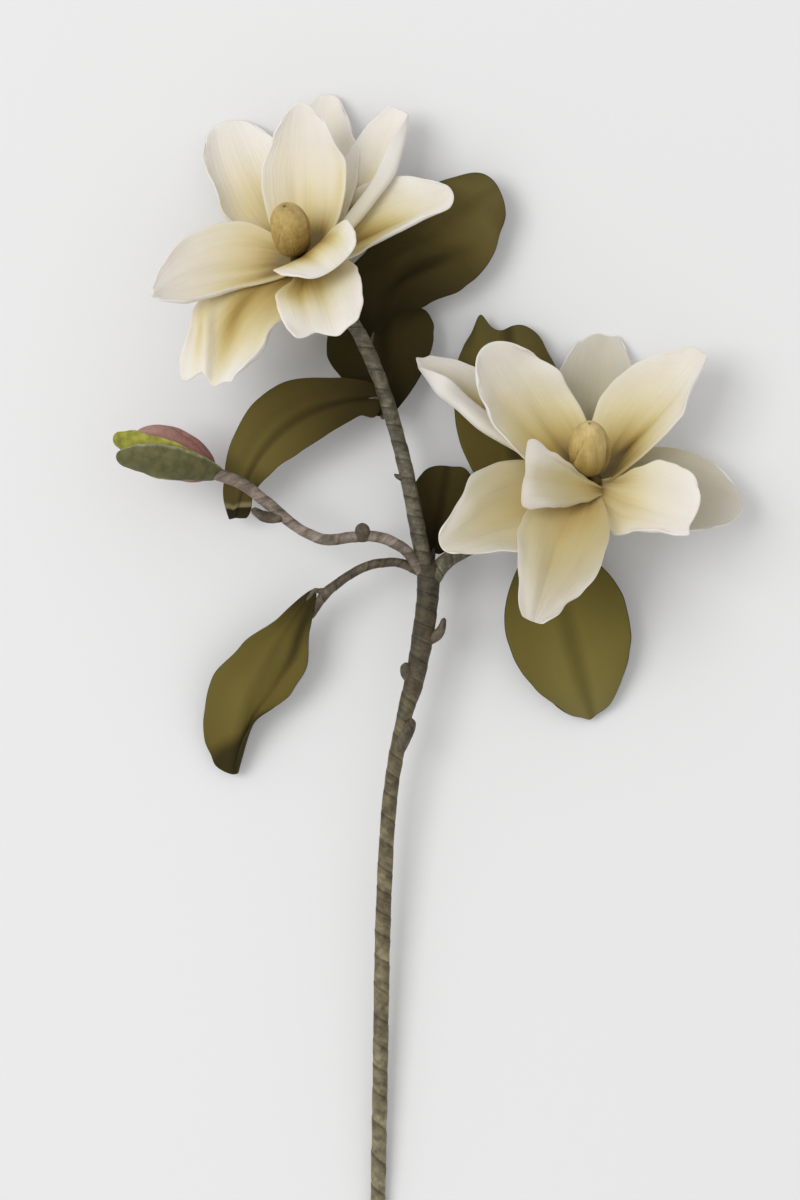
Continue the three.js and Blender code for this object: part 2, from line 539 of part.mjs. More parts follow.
// The bud at the end of its twig: a pink egg of closed petals, and two bracts that lie over it
const BUD = {
  start: v(-171, 146.5, 59), axis: v(-0.907, 0.419, 0.02).normalize(), lean: v(0, 0, 0),
  neck: 1, length: 71, radius: 19.5,
};
const LIME_BRACT = {
  footAt: v(-168, 146, 60), tip: v(-253, 174, 63), inwards: v(0, 0.28, -0.96),
  rows: BRACT_ROWS, width: 25, belly: 19, sway: -5.5, cup: 34, blunt: 0.8, widest: 0.6,
};
const SAGE_BRACT = {
  footAt: v(-168, 144, 60), tip: v(-250, 157.5, 66), inwards: v(0, 0.48, -0.87),
  rows: BRACT_ROWS, width: 33, belly: 17, sway: -10.5, cup: 38, widest: 0.55, end: 0.45,
};

// One bract of the bud, bowed over it; grow is the space that a neighbour keeps clear
function bract({ footAt, tip, inwards, ...shape }, grow = 0) {
  const grid = bladeGrid(footAt, tip, inwards, shape);
  return solid(sheet(widened(grid, grow), BRACT_THICKNESS + 2 * grow));
}

const group = new THREE.Group();
const floor = belowFloor();
const stem = wood();
const stemSpace = wood(CLEARANCE);

group.add(named('stem', largest(stem.subtract(floor)), COLOURS.wood, 0.85));

for (const [name, shape] of Object.entries(LEAVES)) {
  group.add(named(name, largest(leaf(shape).subtract(stemSpace)), COLOURS.leaf, 0.7));
}

const BLOOMS = [
  ['upper', UPPER_BLOOM, UPPER_PETALS, UPPER_HEART],
  ['lower', LOWER_BLOOM, LOWER_PETALS, LOWER_HEART],
];
for (const [place, bloom, petals, middle] of BLOOMS) {
  const flower = joined([receptacle(bloom), ...petals.map((shape) => petal(bloom, shape))]);
  const cleared = flower.subtract(wrappedEgg(middle, CLEARANCE)).subtract(stemSpace).subtract(floor);
  group.add(named(`petals_${place}`, largest(cleared), COLOURS.petal, 0.8));
  group.add(named(`heart_${place}`, wrappedEgg(middle), COLOURS.heart, 0.8));
}

const budSpace = wrappedEgg(BUD, CLEARANCE);
const limeSpace = bract(LIME_BRACT, CLEARANCE);
const lime = bract(LIME_BRACT).subtract(budSpace).subtract(stemSpace);
const sage = bract(SAGE_BRACT).subtract(budSpace).subtract(limeSpace).subtract(stemSpace);
group.add(named('bud_petals', largest(wrappedEgg(BUD).subtract(stemSpace)), COLOURS.bud, 0.8));
group.add(named('bud_bract_inner', largest(lime), COLOURS.lime, 0.75));
group.add(named('bud_bract_outer', largest(sage), COLOURS.sage, 0.75));

export default group;
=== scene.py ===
# %% [markdown]
# # A cut magnolia branch
#
# The branch is a decor piece: thick soft petals, cloth leaves and a stem wrapped in bark-coloured tape.
# It lies on its back on a pale floor, and the camera looks straight down on it. A plain solid model of it
# is loaded first. Each piece made here is a finer, softer version of one of its solids, in the same
# place, so the solids give every size and this script gives the looks.

# %% Load the frame
import math

import bmesh
import bpy
import numpy as np
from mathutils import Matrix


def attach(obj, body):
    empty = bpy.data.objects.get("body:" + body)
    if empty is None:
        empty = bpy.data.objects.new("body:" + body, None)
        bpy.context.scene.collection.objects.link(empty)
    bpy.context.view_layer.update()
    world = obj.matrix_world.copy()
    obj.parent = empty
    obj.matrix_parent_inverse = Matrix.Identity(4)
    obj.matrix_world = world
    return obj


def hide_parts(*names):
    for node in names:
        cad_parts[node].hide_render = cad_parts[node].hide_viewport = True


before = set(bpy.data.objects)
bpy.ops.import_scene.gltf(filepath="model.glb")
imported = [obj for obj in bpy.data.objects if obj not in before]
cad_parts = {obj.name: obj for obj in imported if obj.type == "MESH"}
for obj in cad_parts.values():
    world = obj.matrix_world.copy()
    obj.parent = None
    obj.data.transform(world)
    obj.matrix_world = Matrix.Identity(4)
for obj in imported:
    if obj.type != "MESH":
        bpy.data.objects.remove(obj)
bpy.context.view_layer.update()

# %% [markdown]
# ## Lengths and directions
#
# Blender counts in metres, but a petal is easier to describe in millimetres. All shapes below are worked
# out in millimetres, and one factor turns them into metres when a mesh is made.

# %% Small helpers for points
MM = 0.001


def at(x, y, z):
    """A point or direction, in millimetres."""
    return np.array([x, y, z], float)


def unit(vector):
    """The same direction with length 1."""
    return vector / np.linalg.norm(vector, axis=-1, keepdims=True)


def squared(vector, direction):
    """The part of a vector that is square to a unit direction, with length 1."""
    return unit(vector - (vector * direction).sum(-1, keepdims=True) * direction)


def turned(vector, axis, angle):
    """A vector turned about a unit axis, by an angle in radians."""
    along = (vector * axis).sum(-1, keepdims=True)
    cosine, sine = np.cos(angle), np.sin(angle)
    return vector * cosine + np.cross(axis, vector) * sine + axis * along * (1 - cosine)


def eased(x):
    """0 below 0, 1 above 1, and a soft step between them."""
    x = np.clip(x, 0.0, 1.0)
    return x * x * (3 - 2 * x)


print("A soft step a quarter of the way on:", float(eased(0.25)))

# %% [markdown]
# ## The camera
#
# The photograph is 800 × 1200 pixels, taken from far away with a long lens, so that near and far petals
# have almost the same scale. A lens is chosen from what the picture has to cover: 0.8 mm a pixel at the
# blooms. A shorter lens closer by would make the nearest petals swell, which the photograph doesn't show.

# %% Look straight down on the branch
PHOTO_PIXELS_HIGH = 1200
PIXEL_AT_BLOOMS = 0.8 * MM
BLOOM_HEIGHT = 70 * MM
CAMERA_DISTANCE = 3.0
VIEW_CENTRE = (-22.8 * MM, 44.4 * MM)

view_high = PHOTO_PIXELS_HIGH * PIXEL_AT_BLOOMS
lens = bpy.data.cameras.new("long lens")
lens.sensor_fit = "VERTICAL"
lens.lens = lens.sensor_height * CAMERA_DISTANCE / view_high
camera = bpy.data.objects.new("camera", lens)
camera.location = (*VIEW_CENTRE, BLOOM_HEIGHT + CAMERA_DISTANCE)
bpy.context.scene.collection.objects.link(camera)
bpy.context.scene.camera = camera
print(f"Lens {lens.lens:.0f} mm, view {view_high:.2f} m high at the blooms")

# %% [markdown]
# ## Shader helpers
#
# A material is a small tree of nodes. These helpers only save typing. The first turns a screen colour,
# such as 0xE6DFD5, into the linear numbers that a shader works with: the two scales differ, and a screen
# value put straight into a shader comes out too pale.

# %% Colours as a shader reads them
def screen_colour(code):
    """A screen colour such as 0xE6DFD5 as linear red, green, blue and alpha."""
    parts = [(code >> shift & 255) / 255 for shift in (16, 8, 0)]
    return [p / 12.92 if p <= 0.04045 else ((p + 0.055) / 1.055) ** 2.4 for p in parts] + [1.0]


print("Off-white as a shader reads it:", [round(part, 3) for part in screen_colour(0xE6DFD5)])

# %% [markdown]
# The next ones add a node and fill in its sockets. A socket takes either a plain value or a link from
# another node's output, so one small function looks which of the two it is given, and all the others use
# it.

# %% Adding and joining nodes
def feed(tree, socket, value):
    """Sets a socket to a value, or links another node's output to it."""
    if isinstance(value, bpy.types.NodeSocket):
        tree.links.new(value, socket)
    else:
        socket.default_value = value


def add_node(tree, kind, sockets=None, **settings):
    """A new node with its settings, and with sockets set to a value or linked to another node's output."""
    node = tree.nodes.new(kind)
    for name, value in settings.items():
        setattr(node, name, value)
    for name, value in (sockets or {}).items():
        feed(tree, node.inputs[name], value)
    return node


def calculate(tree, operation, a, b=None):
    """The output of a Math node."""
    sockets = {0: a} if b is None else {0: a, 1: b}
    return add_node(tree, "ShaderNodeMath", sockets, operation=operation).outputs[0]


def map_parts(tree, name):
    """The X, Y and Z outputs of a UV map."""
    spot = add_node(tree, "ShaderNodeUVMap", uv_map=name)
    return add_node(tree, "ShaderNodeSeparateXYZ", {0: spot.outputs["UV"]}).outputs


def object_noise(tree, scale, detail):
    """Noise in object space, with scale in spots a metre."""
    place = add_node(tree, "ShaderNodeTexCoord").outputs["Object"]
    sockets = {"Vector": place, "Scale": scale, "Detail": detail}
    return add_node(tree, "ShaderNodeTexNoise", sockets).outputs[0]


# %% [markdown]
# Colours are mixed in two ways here: one laid over the other by a share, or one multiplied by the other,
# which only darkens. A ramp turns a number from 0 to 1 into a colour.

# %% Mixing colours
def mixed(tree, share, first, second, blend_type="MIX"):
    """The output of a colour mix, from first at share 0 to second at share 1."""
    sockets = {0: share, 6: first, 7: second}
    return add_node(tree, "ShaderNodeMix", sockets, data_type="RGBA", blend_type=blend_type).outputs[2]


def multiplied(tree, first, second):
    """The output of one colour times another."""
    return mixed(tree, 1.0, first, second, "MULTIPLY")


def colour_ramp(tree, share, stops):
    """The output of a colour ramp with (place, screen colour) stops."""
    ramp = add_node(tree, "ShaderNodeValToRGB", {"Fac": share})
    marks = ramp.color_ramp.elements
    while len(marks) < len(stops):
        marks.new(0.5)
    for mark, (place, code) in zip(marks, stops):
        mark.position = place
        mark.color = screen_colour(code)
    return ramp.outputs["Color"]


# %% [markdown]
# Each material starts as one Principled shader. A number that is the same all over a surface, such as its
# roughness, is set on the shader's own socket, and only what changes over the surface gets nodes.

# %% A new material
def new_material(name, **values):
    """A material with one Principled shader. Values name its sockets, with _ for a space."""
    material = bpy.data.materials.new(name)
    material.use_nodes = True
    shader = material.node_tree.nodes["Principled BSDF"]
    for socket, value in values.items():
        shader.inputs[socket.replace("_", " ")].default_value = value
    return material, material.node_tree, shader


# %% [markdown]
# ## A shared group: place on the blade
#
# Every petal, leaf and bract gets a UV map named "blade": U runs from its left edge to its right edge and
# V from its foot to its tip. A petal is tinted by where a spot lies on it, so this group turns the map
# into three values: Along, from foot to tip, Across, from -1 to 1, and Edge, 0 in the middle and 1 at
# both edges.

# %% Group: place on the blade
def new_group(name, inputs, outputs):
    """An empty shader group with named sockets, and its input and output nodes."""
    group = bpy.data.node_groups.new(name, "ShaderNodeTree")
    for socket, kind, value in inputs:
        made = group.interface.new_socket(socket, in_out="INPUT", socket_type=kind)
        made.default_value = value
    for socket, kind in outputs:
        group.interface.new_socket(socket, in_out="OUTPUT", socket_type=kind)
    return group, group.nodes.new("NodeGroupInput"), group.nodes.new("NodeGroupOutput")


def place_on_blade():
    """The group that gives Along, Across and Edge from the blade map."""
    outputs = [(name, "NodeSocketFloat") for name in ("Along", "Across", "Edge")]
    group, _, end = new_group("Place on the blade", [], outputs)
    parts = map_parts(group, "blade")
    across = calculate(group, "SUBTRACT", calculate(group, "MULTIPLY", parts["X"], 2), 1)
    feed(group, end.inputs["Along"], parts["Y"])
    feed(group, end.inputs["Across"], across)
    feed(group, end.inputs["Edge"], calculate(group, "ABSOLUTE", across))
    return group


BLADE_PLACE = place_on_blade()
print("Shader group:", BLADE_PLACE.name, "with", len(BLADE_PLACE.nodes), "nodes")

# %% [markdown]
# ## A shared group: fine streaks
#
# Petals, bracts, hearts and the bud have fine lines that run from foot to tip, like the veins pressed
# into the real foam. Noise that changes fast across the blade and slowly along it gives such lines
# without drawing each of them. Count says how many lie side by side and Waver how much they change on
# their way.

# %% Group: fine streaks
STREAKS_APART = 6    # how fast the lines change with height in metres, so that no two petals have the same


def fine_streaks():
    """The group that gives a mask of fine lines along the blade."""
    inputs = [("Count", "NodeSocketFloat", 30.0), ("Waver", "NodeSocketFloat", 1.5)]
    group, start, end = new_group("Fine streaks", inputs, [("Mask", "NodeSocketFloat")])
    parts = map_parts(group, "blade")
    place = add_node(group, "ShaderNodeTexCoord").outputs["Object"]
    height = add_node(group, "ShaderNodeSeparateXYZ", {0: place}).outputs["Z"]
    stretched = add_node(group, "ShaderNodeCombineXYZ", {
        "X": calculate(group, "MULTIPLY", parts["X"], start.outputs["Count"]),
        "Y": calculate(group, "MULTIPLY", parts["Y"], start.outputs["Waver"]),
        "Z": calculate(group, "MULTIPLY", height, STREAKS_APART),
    })
    sockets = {"Vector": stretched.outputs[0], "Scale": 1.0, "Detail": 3.0}
    feed(group, end.inputs["Mask"], add_node(group, "ShaderNodeTexNoise", sockets).outputs[0])
    return group


STREAKS = fine_streaks()
print("Shader group:", STREAKS.name, "with", len(STREAKS.nodes), "nodes")

# %% [markdown]
# ## A shared group: soft mottling
#
# Nothing on the branch has one flat colour. Broad soft noise in object space mixes a second colour in.
# Object coordinates are in metres, so a patch has the same real size on a small petal and on a long leaf.

# %% Group: soft mottling
PATCH_STARTS = 0.35    # the noise at which the second colour starts to show
PATCH_FULL = 0.7       # and at which it shows in full


def soft_mottling():
    """The group that mixes a second colour in, in soft patches of a given size in metres."""
    inputs = [
        ("Colour", "NodeSocketColor", (0.8, 0.8, 0.8, 1)),
        ("Second colour", "NodeSocketColor", (0.5, 0.5, 0.5, 1)),
        ("Patch size", "NodeSocketFloat", 0.03),
        ("Amount", "NodeSocketFloat", 0.3),
    ]
    group, start, end = new_group("Soft mottling", inputs, [("Colour", "NodeSocketColor")])
    noise = object_noise(group, calculate(group, "DIVIDE", 1.0, start.outputs["Patch size"]), 4.0)
    patch = add_node(group, "ShaderNodeMapRange", {0: noise, 1: PATCH_STARTS, 2: PATCH_FULL})
    share = calculate(group, "MULTIPLY", patch.outputs[0], start.outputs["Amount"])
    colour = mixed(group, share, start.outputs["Colour"], start.outputs["Second colour"])
    feed(group, end.inputs["Colour"], colour)
    return group


MOTTLING = soft_mottling()
print("Shader group:", MOTTLING.name, "with", len(MOTTLING.nodes), "nodes")

# %% [markdown]
# ## A shared group: cloth weave
#
# The leaves are printed cloth. Two sets of waves, one along and one across, give the threads. They read a
# second UV map named "cloth", which is in metres, so that the threads stay about 0.7 mm apart on a small
# leaf and on a large one. On the "blade" map, which runs from 0 to 1, a long leaf would get longer
# threads.

# %% Group: cloth weave
def cloth_weave():
    """The group that gives the height of woven threads, from the cloth map in metres."""
    inputs = [("Thread gap", "NodeSocketFloat", 0.0007)]
    group, start, end = new_group("Cloth weave", inputs, [("Height", "NodeSocketFloat")])
    parts = map_parts(group, "cloth")
    turns = calculate(group, "DIVIDE", 2 * math.pi, start.outputs["Thread gap"])
    across, along = (
        calculate(group, "SINE", calculate(group, "MULTIPLY", parts[axis], turns)) for axis in ("X", "Y")
    )
    feed(group, end.inputs["Height"], calculate(group, "MULTIPLY", across, along))
    return group


WEAVE = cloth_weave()
print("Shader group:", WEAVE.name, "with", len(WEAVE.nodes), "nodes")

# %% [markdown]
# ## Using the groups
#
# A group is placed in a material like any other node, with its own values. Fine relief comes from a Bump
# node: it tilts the light on the surface, but not its outline, which is enough for veins and threads.

# %% Placing a group, and fine relief
def use_group(tree, group, **sockets):
    """A shader group placed in a material. Names its sockets, with _ for a space."""
    values = {name.replace("_", " "): value for name, value in sockets.items()}
    return add_node(tree, "ShaderNodeGroup", values, node_tree=group)


def mottled(tree, colour, second, patch_size, amount):
    """A colour with soft patches of a second screen colour in it. The patch size is in metres."""
    second = screen_colour(second)
    patched = use_group(
        tree, MOTTLING, Colour=colour, Second_colour=second, Patch_size=patch_size, Amount=amount,
    )
    return patched.outputs["Colour"]


def add_bump(tree, shader, height, distance):
    """Fine relief on a material: height runs from 0 to 1 and distance is its depth in metres."""
    bump = add_node(tree, "ShaderNodeBump", {"Height": height, "Distance": distance, "Strength": 1.0})
    tree.links.new(bump.outputs["Normal"], shader.inputs["Normal"])


# %% [markdown]
# ## Floor and light
#
# The photograph has a plain light grey ground and very soft light from the left and the front: the left
# side of the stem is the lighter one. A bright even sky lights every hollow a little, and one soft lamp
# as large as a window, on the camera's side and to its left, gives the petals their form. A small lamp
# would draw hard shadows that the photograph doesn't have.

# %% Floor, sky and lamp
FLOOR_HALF = 4.0
FLOOR_DROP = 0.3 * MM
SKY_STRENGTH = 0.68
WINDOW_PLACE = (-5.6, 1.4, 8.4)
WINDOW_SIZE = 5.5
WINDOW_POWER = 420


def pale_floor():
    """A large pale sheet just under the branch, with a grain too faint to see as spots."""
    mesh = bpy.data.meshes.new("floor")
    corners = [(x * FLOOR_HALF, y * FLOOR_HALF, -FLOOR_DROP) for x, y in ((-1, -1), (1, -1), (1, 1), (-1, 1))]
    mesh.from_pydata(corners, [], [(0, 1, 2, 3)])
    material, tree, shader = new_material("pale paper", Roughness=0.9)
    tone = mixed(tree, object_noise(tree, 900.0, 2.0), screen_colour(0xECECEC), screen_colour(0xEAEAEA))
    feed(tree, shader.inputs["Base Color"], tone)
    mesh.materials.append(material)
    floor = bpy.data.objects.new("floor", mesh)
    bpy.context.scene.collection.objects.link(floor)


def soft_lamp(name, place, size, power):
    """A square lamp that points at the middle of the branch. Lengths in metres, power in watts."""
    light = bpy.data.lights.new(name, "AREA")
    light.size = size
    light.energy = power
    lamp = bpy.data.objects.new(name, light)
    lamp.location = place
    aim = np.array([VIEW_CENTRE[0], VIEW_CENTRE[1] + 0.1, BLOOM_HEIGHT]) - np.array(place)
    lamp.rotation_euler = (
        math.acos(-aim[2] / np.linalg.norm(aim)), 0, math.atan2(aim[1], aim[0]) - math.pi / 2,
    )
    bpy.context.scene.collection.objects.link(lamp)


pale_floor()
sky = bpy.data.worlds.new("even sky")
sky.use_nodes = True
background = sky.node_tree.nodes["Background"]
background.inputs["Color"].default_value = (1.0, 1.0, 1.0, 1.0)
background.inputs["Strength"].default_value = SKY_STRENGTH
bpy.context.scene.world = sky
soft_lamp("window", WINDOW_PLACE, WINDOW_SIZE, WINDOW_POWER)
bpy.context.scene.view_settings.view_transform = "Standard"
print(f"Sky at {SKY_STRENGTH}, and a lamp {WINDOW_SIZE} m wide at {WINDOW_POWER} W")

# %% [markdown]
# ## The shape of a blade
#
# A petal, a leaf and a bract are the same thing to a modeller: a thin sheet that grows along a curved
# middle line. Sculpting each by hand would look good once and be hard to change. Here a function lays out
# a grid of points from a few plain values: where the foot and tip are, how wide the blade is and where,
# how far it bows, how hollow its section is, and how its edges curl over.

# %% What a blade is like where nothing else is said
# Outline: width is the greatest width in millimetres and widest where it lies; foot_share and end are the
# widths at the foot and the tip, as shares of it; left_widths and right_widths change each side, as (along,
# factor); lop shifts the width to the right; ragged roughens the outline, in millimetres.
# Tip: blunt rounds it, slant cuts it askew, and tips adds points to it, as (across, millimetres, width
# share).
# Bend: belly bows the blade away from its upper face and sway to its side, in millimetres; roll turns it
# about its own length; hook bends its end towards its upper face, as (degrees, start).
# Section: cup and keel hollow it, in degrees; left and right curl an edge over, as (degrees, start, end) on
# the way from the middle to the edge, and left_span and right_span say where along the blade.
# Surface: waves ruffle the edges, in millimetres; dents are soft bumps, or hollows where the height is
# negative, as (along, across, length share, width share, millimetres, lean).
# Colour: soft strokes of painted shade, as (along, across, length share, width share, depth, lean).
# Depth is how far the colour moves back towards that of the foot, as a share of the length, and a negative
# depth makes a spot paler, a painted highlight.
PLAIN_BLADE = dict(
    rows=36, columns=24, width=70, foot_share=0.4, widest=0.58, end=0.6, lop=0, ragged=0.5,
    left_widths=((0, 1), (1, 1)), right_widths=((0, 1), (1, 1)),
    blunt=0.6, slant=0, tips=(),
    belly=0, sway=0, roll=0, hook=(0, 0.8),
    cup=20, keel=0, left=(0, 0.5, 1), right=(0, 0.5, 1), left_span=(0, 1), right_span=(0, 1),
    waves=1.2, wave_count=2.5, wave_phase=0, dents=(),
    dye=(),
)
print("Values of a blade:", len(PLAIN_BLADE))

# %% [markdown]
# The outline of a blade swells from its foot to its widest place and narrows to its tip. Two powers say
# how: the first makes it swell fast and then level off, and the second keeps it wide until near the tip.

# %% How wide a blade is along its length
WIDTH_LAW = (0.8, 2.2)


def width_share(s, foot, widest, end):
    """The width at a share s of the length, as a share of the greatest width."""
    swelling = foot + (1 - foot) * np.sin(math.pi / 2 * np.clip(s / widest, 0, 1)) ** WIDTH_LAW[0]
    narrowing = 1 - (1 - end) * np.clip((s - widest) / (1 - widest), 0, 1) ** WIDTH_LAW[1]
    return np.where(s < widest, swelling, narrowing)


def soft_steps(s, places):
    """A value that eases from one (place, value) to the next."""
    where, values = np.array(places, float).T
    n = np.clip(np.searchsorted(where, s, side="right") - 1, 0, len(where) - 2)
    share = eased((s - where[n]) / (where[n + 1] - where[n]))
    return values[n] + (values[n + 1] - values[n]) * share


half_way = float(width_share(0.5, PLAIN_BLADE["foot_share"], PLAIN_BLADE["widest"], PLAIN_BLADE["end"]))
print(f"Half way along, a plain blade has {half_way:.2f} of its greatest width")

# %% [markdown]
# A section is walked from the middle line to the edge in small equal steps. Each step leans a little more
# than the one before it, so the section is hollow, and a curl adds lean near the edge. Because the steps
# keep their length, an edge that curls over draws the outline in, as a real petal's does, and isn't
# stretched.

# %% Half of a blade's section, for every row at once
KEEL_SOFTNESS = 0.14
CURL_SWELL = (1.2, 0.6)    # how a curl grows and fades along its span


def half_section(shape, hand, s, half):
    """How far each point lies sideways and upwards from the middle line, left or right of it."""
    count = shape["columns"] // 2
    t = (np.arange(count) + 0.5) / count
    degrees, start, stop = shape[hand]
    low, high = shape[hand + "_span"]
    span = np.sin(math.pi * np.clip((s - low) / (high - low), 0, 1) ** CURL_SWELL[0]) ** CURL_SWELL[1]
    curl = math.radians(degrees) * span[:, None] * eased((t - start) / (stop - start))
    lean = math.radians(shape["keel"]) * eased(t / KEEL_SOFTNESS) + math.radians(shape["cup"]) * t + curl
    step = (half * soft_steps(s, shape[hand + "_widths"]) / count)[:, None]
    sideways = np.cumsum(np.cos(lean) * step, axis=1)
    upwards = np.cumsum(np.sin(lean) * step, axis=1)
    start_point = np.zeros((len(s), 1))
    return np.hstack([start_point, sideways]), np.hstack([start_point, upwards])


# %% [markdown]
# The middle line is a cubic curve with four knots, two of them pushed aside by the bow. A hook adds an
# arc at its end, for a petal that bends over near its tip.

# %% The middle line of a blade
def middle_line(foot, tip, bulge, u):
    """Points and directions on a smooth curve from foot to tip, running straight on past the tip."""
    chord = tip - foot
    knots = [foot, foot + 0.33 * chord + bulge * 4 / 3, foot + 0.67 * chord + bulge * 4 / 3, tip]
    c = np.clip(u, 0, 1)[..., None]
    b = 1 - c
    point = b**3 * knots[0] + 3 * b * b * c * knots[1] + 3 * b * c * c * knots[2] + c**3 * knots[3]
    speed = 3 * (
        b * b * (knots[1] - knots[0]) + 2 * b * c * (knots[2] - knots[1]) + c * c * (knots[3] - knots[2])
    )
    return point + (u[..., None] - c) * speed, unit(speed)


def hooked_line(foot, tip, bulge, face, u, degrees, start):
    """The middle line with its end bent towards the face, on an arc that begins at a share of the length."""
    point, direction = middle_line(foot, tip, bulge, np.minimum(u, start) if degrees else u)
    if not degrees:
        return point, direction
    normal = squared(np.broadcast_to(face, point.shape), direction)
    gone = np.maximum(u - start, 0)[..., None]
    angle = math.radians(degrees) * gone / (1 - start)
    radius = (1 - start) * np.linalg.norm(tip - foot) / math.radians(degrees)
    bent = point + radius * (np.sin(angle) * direction + (1 - np.cos(angle)) * normal)
    return bent, np.cos(angle) * direction + np.sin(angle) * normal


bowed, _ = middle_line(at(0, 0, 0), at(0, 100, 0), at(0, 0, 10), np.linspace(0, 1, 50))
bowed_length = np.linalg.norm(np.diff(bowed, axis=0), axis=1).sum()
print(f"A line of 100 mm from foot to tip that bows by 10 mm is {bowed_length:.1f} mm long")

# %% [markdown]
# Real petals are never smooth: their edges wave, and soft dents run over them. Shade is painted into the
# hollows, and strokes of painted shade, with a few of painted highlight, run along the folds. Dents and
# strokes have the same soft form, so both are described in the same way. The strokes become a third UV map,
# whose U is the depth of the painted shade, for the materials to read.

# %% Waves, dents and painted shade
EDGE_LAG = 1.9            # the right edge's waves run behind the left edge's, in radians
WAVE_GROWTH = (1.2, 2.2)  # how waves grow towards the tip, and towards the edges
SHADE_IN_HOLLOW = 0.03      # depth of painted shade for each millimetre of a hollow


def soft_spot(s, t, place, across, long, wide, lean):
    """1 in the middle of a soft spot on a blade, and less away from it. Lean slants the spot."""
    off = t - across - lean * (s - place)
    return np.exp(-(((s - place) / long) ** 2) - (off / wide) ** 2)


def ruffled(shape, s, t):
    """How far waves and dents lift each point off the blade's own surface."""
    phase = 2 * math.pi * shape["wave_count"] * s + shape["wave_phase"] + EDGE_LAG * (t > 0)
    lift = shape["waves"] * s ** WAVE_GROWTH[0] * np.abs(t) ** WAVE_GROWTH[1] * np.sin(phase)
    for place, across, long, wide, height, lean in shape["dents"]:
        lift = lift + height * soft_spot(s, t, place, across, long, wide, lean)
    return lift


def dye_and_shade_depth(values):
    """How deep the painted tone lies at each point: painted shade in the hollows, and the listed strokes."""
    shape = {**PLAIN_BLADE, **values}
    s = np.linspace(0, 1, shape["rows"] + 1)[:, None]
    t = np.linspace(-1, 1, shape["columns"] + 1)
    depth = np.zeros((len(s), len(t)))
    hollows = [(*dent[:4], SHADE_IN_HOLLOW * max(-dent[4], 0), dent[5]) for dent in shape["dents"]]
    for place, across, long, wide, amount, lean in (*hollows, *shape["dye"]):
        depth += amount * soft_spot(s, t, place, across, long, wide, lean)
    return depth


# The painted shade at the deepest place of a hollow 3 mm deep:
hollow = dict(dents=((0.5, 0, 0.3, 0.3, -3, 0),))
print(f"The deepest dye in a hollow of 3 mm: {dye_and_shade_depth(hollow).max():.2f}")

# %% [markdown]
# Now the parts come together. For each row the outline gives a half width, the section bends it, and the
# middle line carries the section through space. The tip is shaped last, by moving points along the blade.

# %% The grid of points of a blade
TIP_ROUNDNESS = 0.97    # 1 would make a rounded tip a full half circle
EDGES_APART = 5         # rows by which the right edge's roughness is moved from the left edge's


def tip_shift(shape, s, t):
    """How far each point moves along the blade, for a rounded, pointed or slanted tip."""
    rounding = shape["blunt"] * shape["width"] / 2 * shape["end"] * (1 - np.sqrt(1 - TIP_ROUNDNESS * t * t))
    peaks = sum(reach * np.exp(-(((t - place) / wide) ** 2)) for place, reach, wide in shape["tips"])
    return s**5 * peaks - s**3 * rounding + s * s * t * shape["slant"]


def roughness(shape, s, tip):
    """How far the outline strays at each row: three sine waves out of step, different on each blade."""
    waves = np.sin(17 * s + shape["width"]) + np.sin(29 * s + 2.1) + 0.7 * np.sin(47 * s + tip[0])
    return shape["ragged"] * s * waves


def blade_grid(foot, tip, up, **values):
    """Points in millimetres, in rows from foot to tip, each from the left edge to the right edge."""
    shape = {**PLAIN_BLADE, **values}
    chord = tip - foot
    along = unit(chord)
    face = turned(squared(up, along), along, math.radians(shape["roll"]))
    side = np.cross(along, face)
    bulge = side * shape["sway"] - face * shape["belly"]

    s = np.linspace(0, 1, shape["rows"] + 1)
    t = np.linspace(-1, 1, shape["columns"] + 1)
    half = shape["width"] / 2 * width_share(s, shape["foot_share"], shape["widest"], shape["end"])
    stray = roughness(shape, s, tip)
    left_half = half * (1 - shape["lop"]) + stray
    right_half = half * (1 + shape["lop"]) - np.roll(stray, EDGES_APART)
    left_out, left_up = half_section(shape, "left", s, left_half)
    right_out, right_up = half_section(shape, "right", s, right_half)
    outwards = np.hstack([-left_out[:, :0:-1], right_out])
    upwards = np.hstack([left_up[:, :0:-1], right_up]) + ruffled(shape, s[:, None], t)

    u = s[:, None] + tip_shift(shape, s[:, None], t) / np.linalg.norm(chord)
    point, direction = hooked_line(foot, tip, bulge, face, u, *shape["hook"])
    across = unit(np.cross(direction, face))
    normal = np.cross(across, direction)
    return point + across * outwards[..., None] + normal * upwards[..., None]


plain = blade_grid(at(0, 0, 0), at(0, 150, 0), at(0, 0, 1))
plain_size = (plain.max((0, 1)) - plain.min((0, 1))).round(1).tolist()
print("A plain blade 150 mm long:", plain.shape[0] * plain.shape[1], "points, in mm", plain_size)

# %% [markdown]
# ## From a grid to a piece
#
# Every piece stands for one solid of the plain model: it hides that solid and rides on the same body. One
# function does this for petals, leaves, eggs and limbs alike, so none is forgotten.

# %% Put a piece in the scene
def add_piece(name, mesh, node, materials):
    """Puts a mesh in the scene as a piece that stands for one CAD node."""
    for material in materials:
        mesh.materials.append(material)
    mesh.shade_smooth()
    piece = bpy.data.objects.new(name, mesh)
    bpy.context.scene.collection.objects.link(piece)
    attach(piece, "root")
    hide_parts(node)
    return piece


# %% [markdown]
# The grid becomes a mesh of quads with its UV maps: "blade" counts from 0 to 1, "cloth" is in metres, and
# a third map holds the depth of the painted shade. A map is written for each corner of each face, so that it
# can also jump at a seam, as it does where a closed grid meets itself.

# %% A mesh from a grid
def write_map(mesh, name, values):
    """A UV map from one pair of numbers for each corner of each face."""
    layer = mesh.uv_layers.new(name=name, do_init=False)
    layer.uv.foreach_set("vector", np.asarray(values, np.float32).ravel())


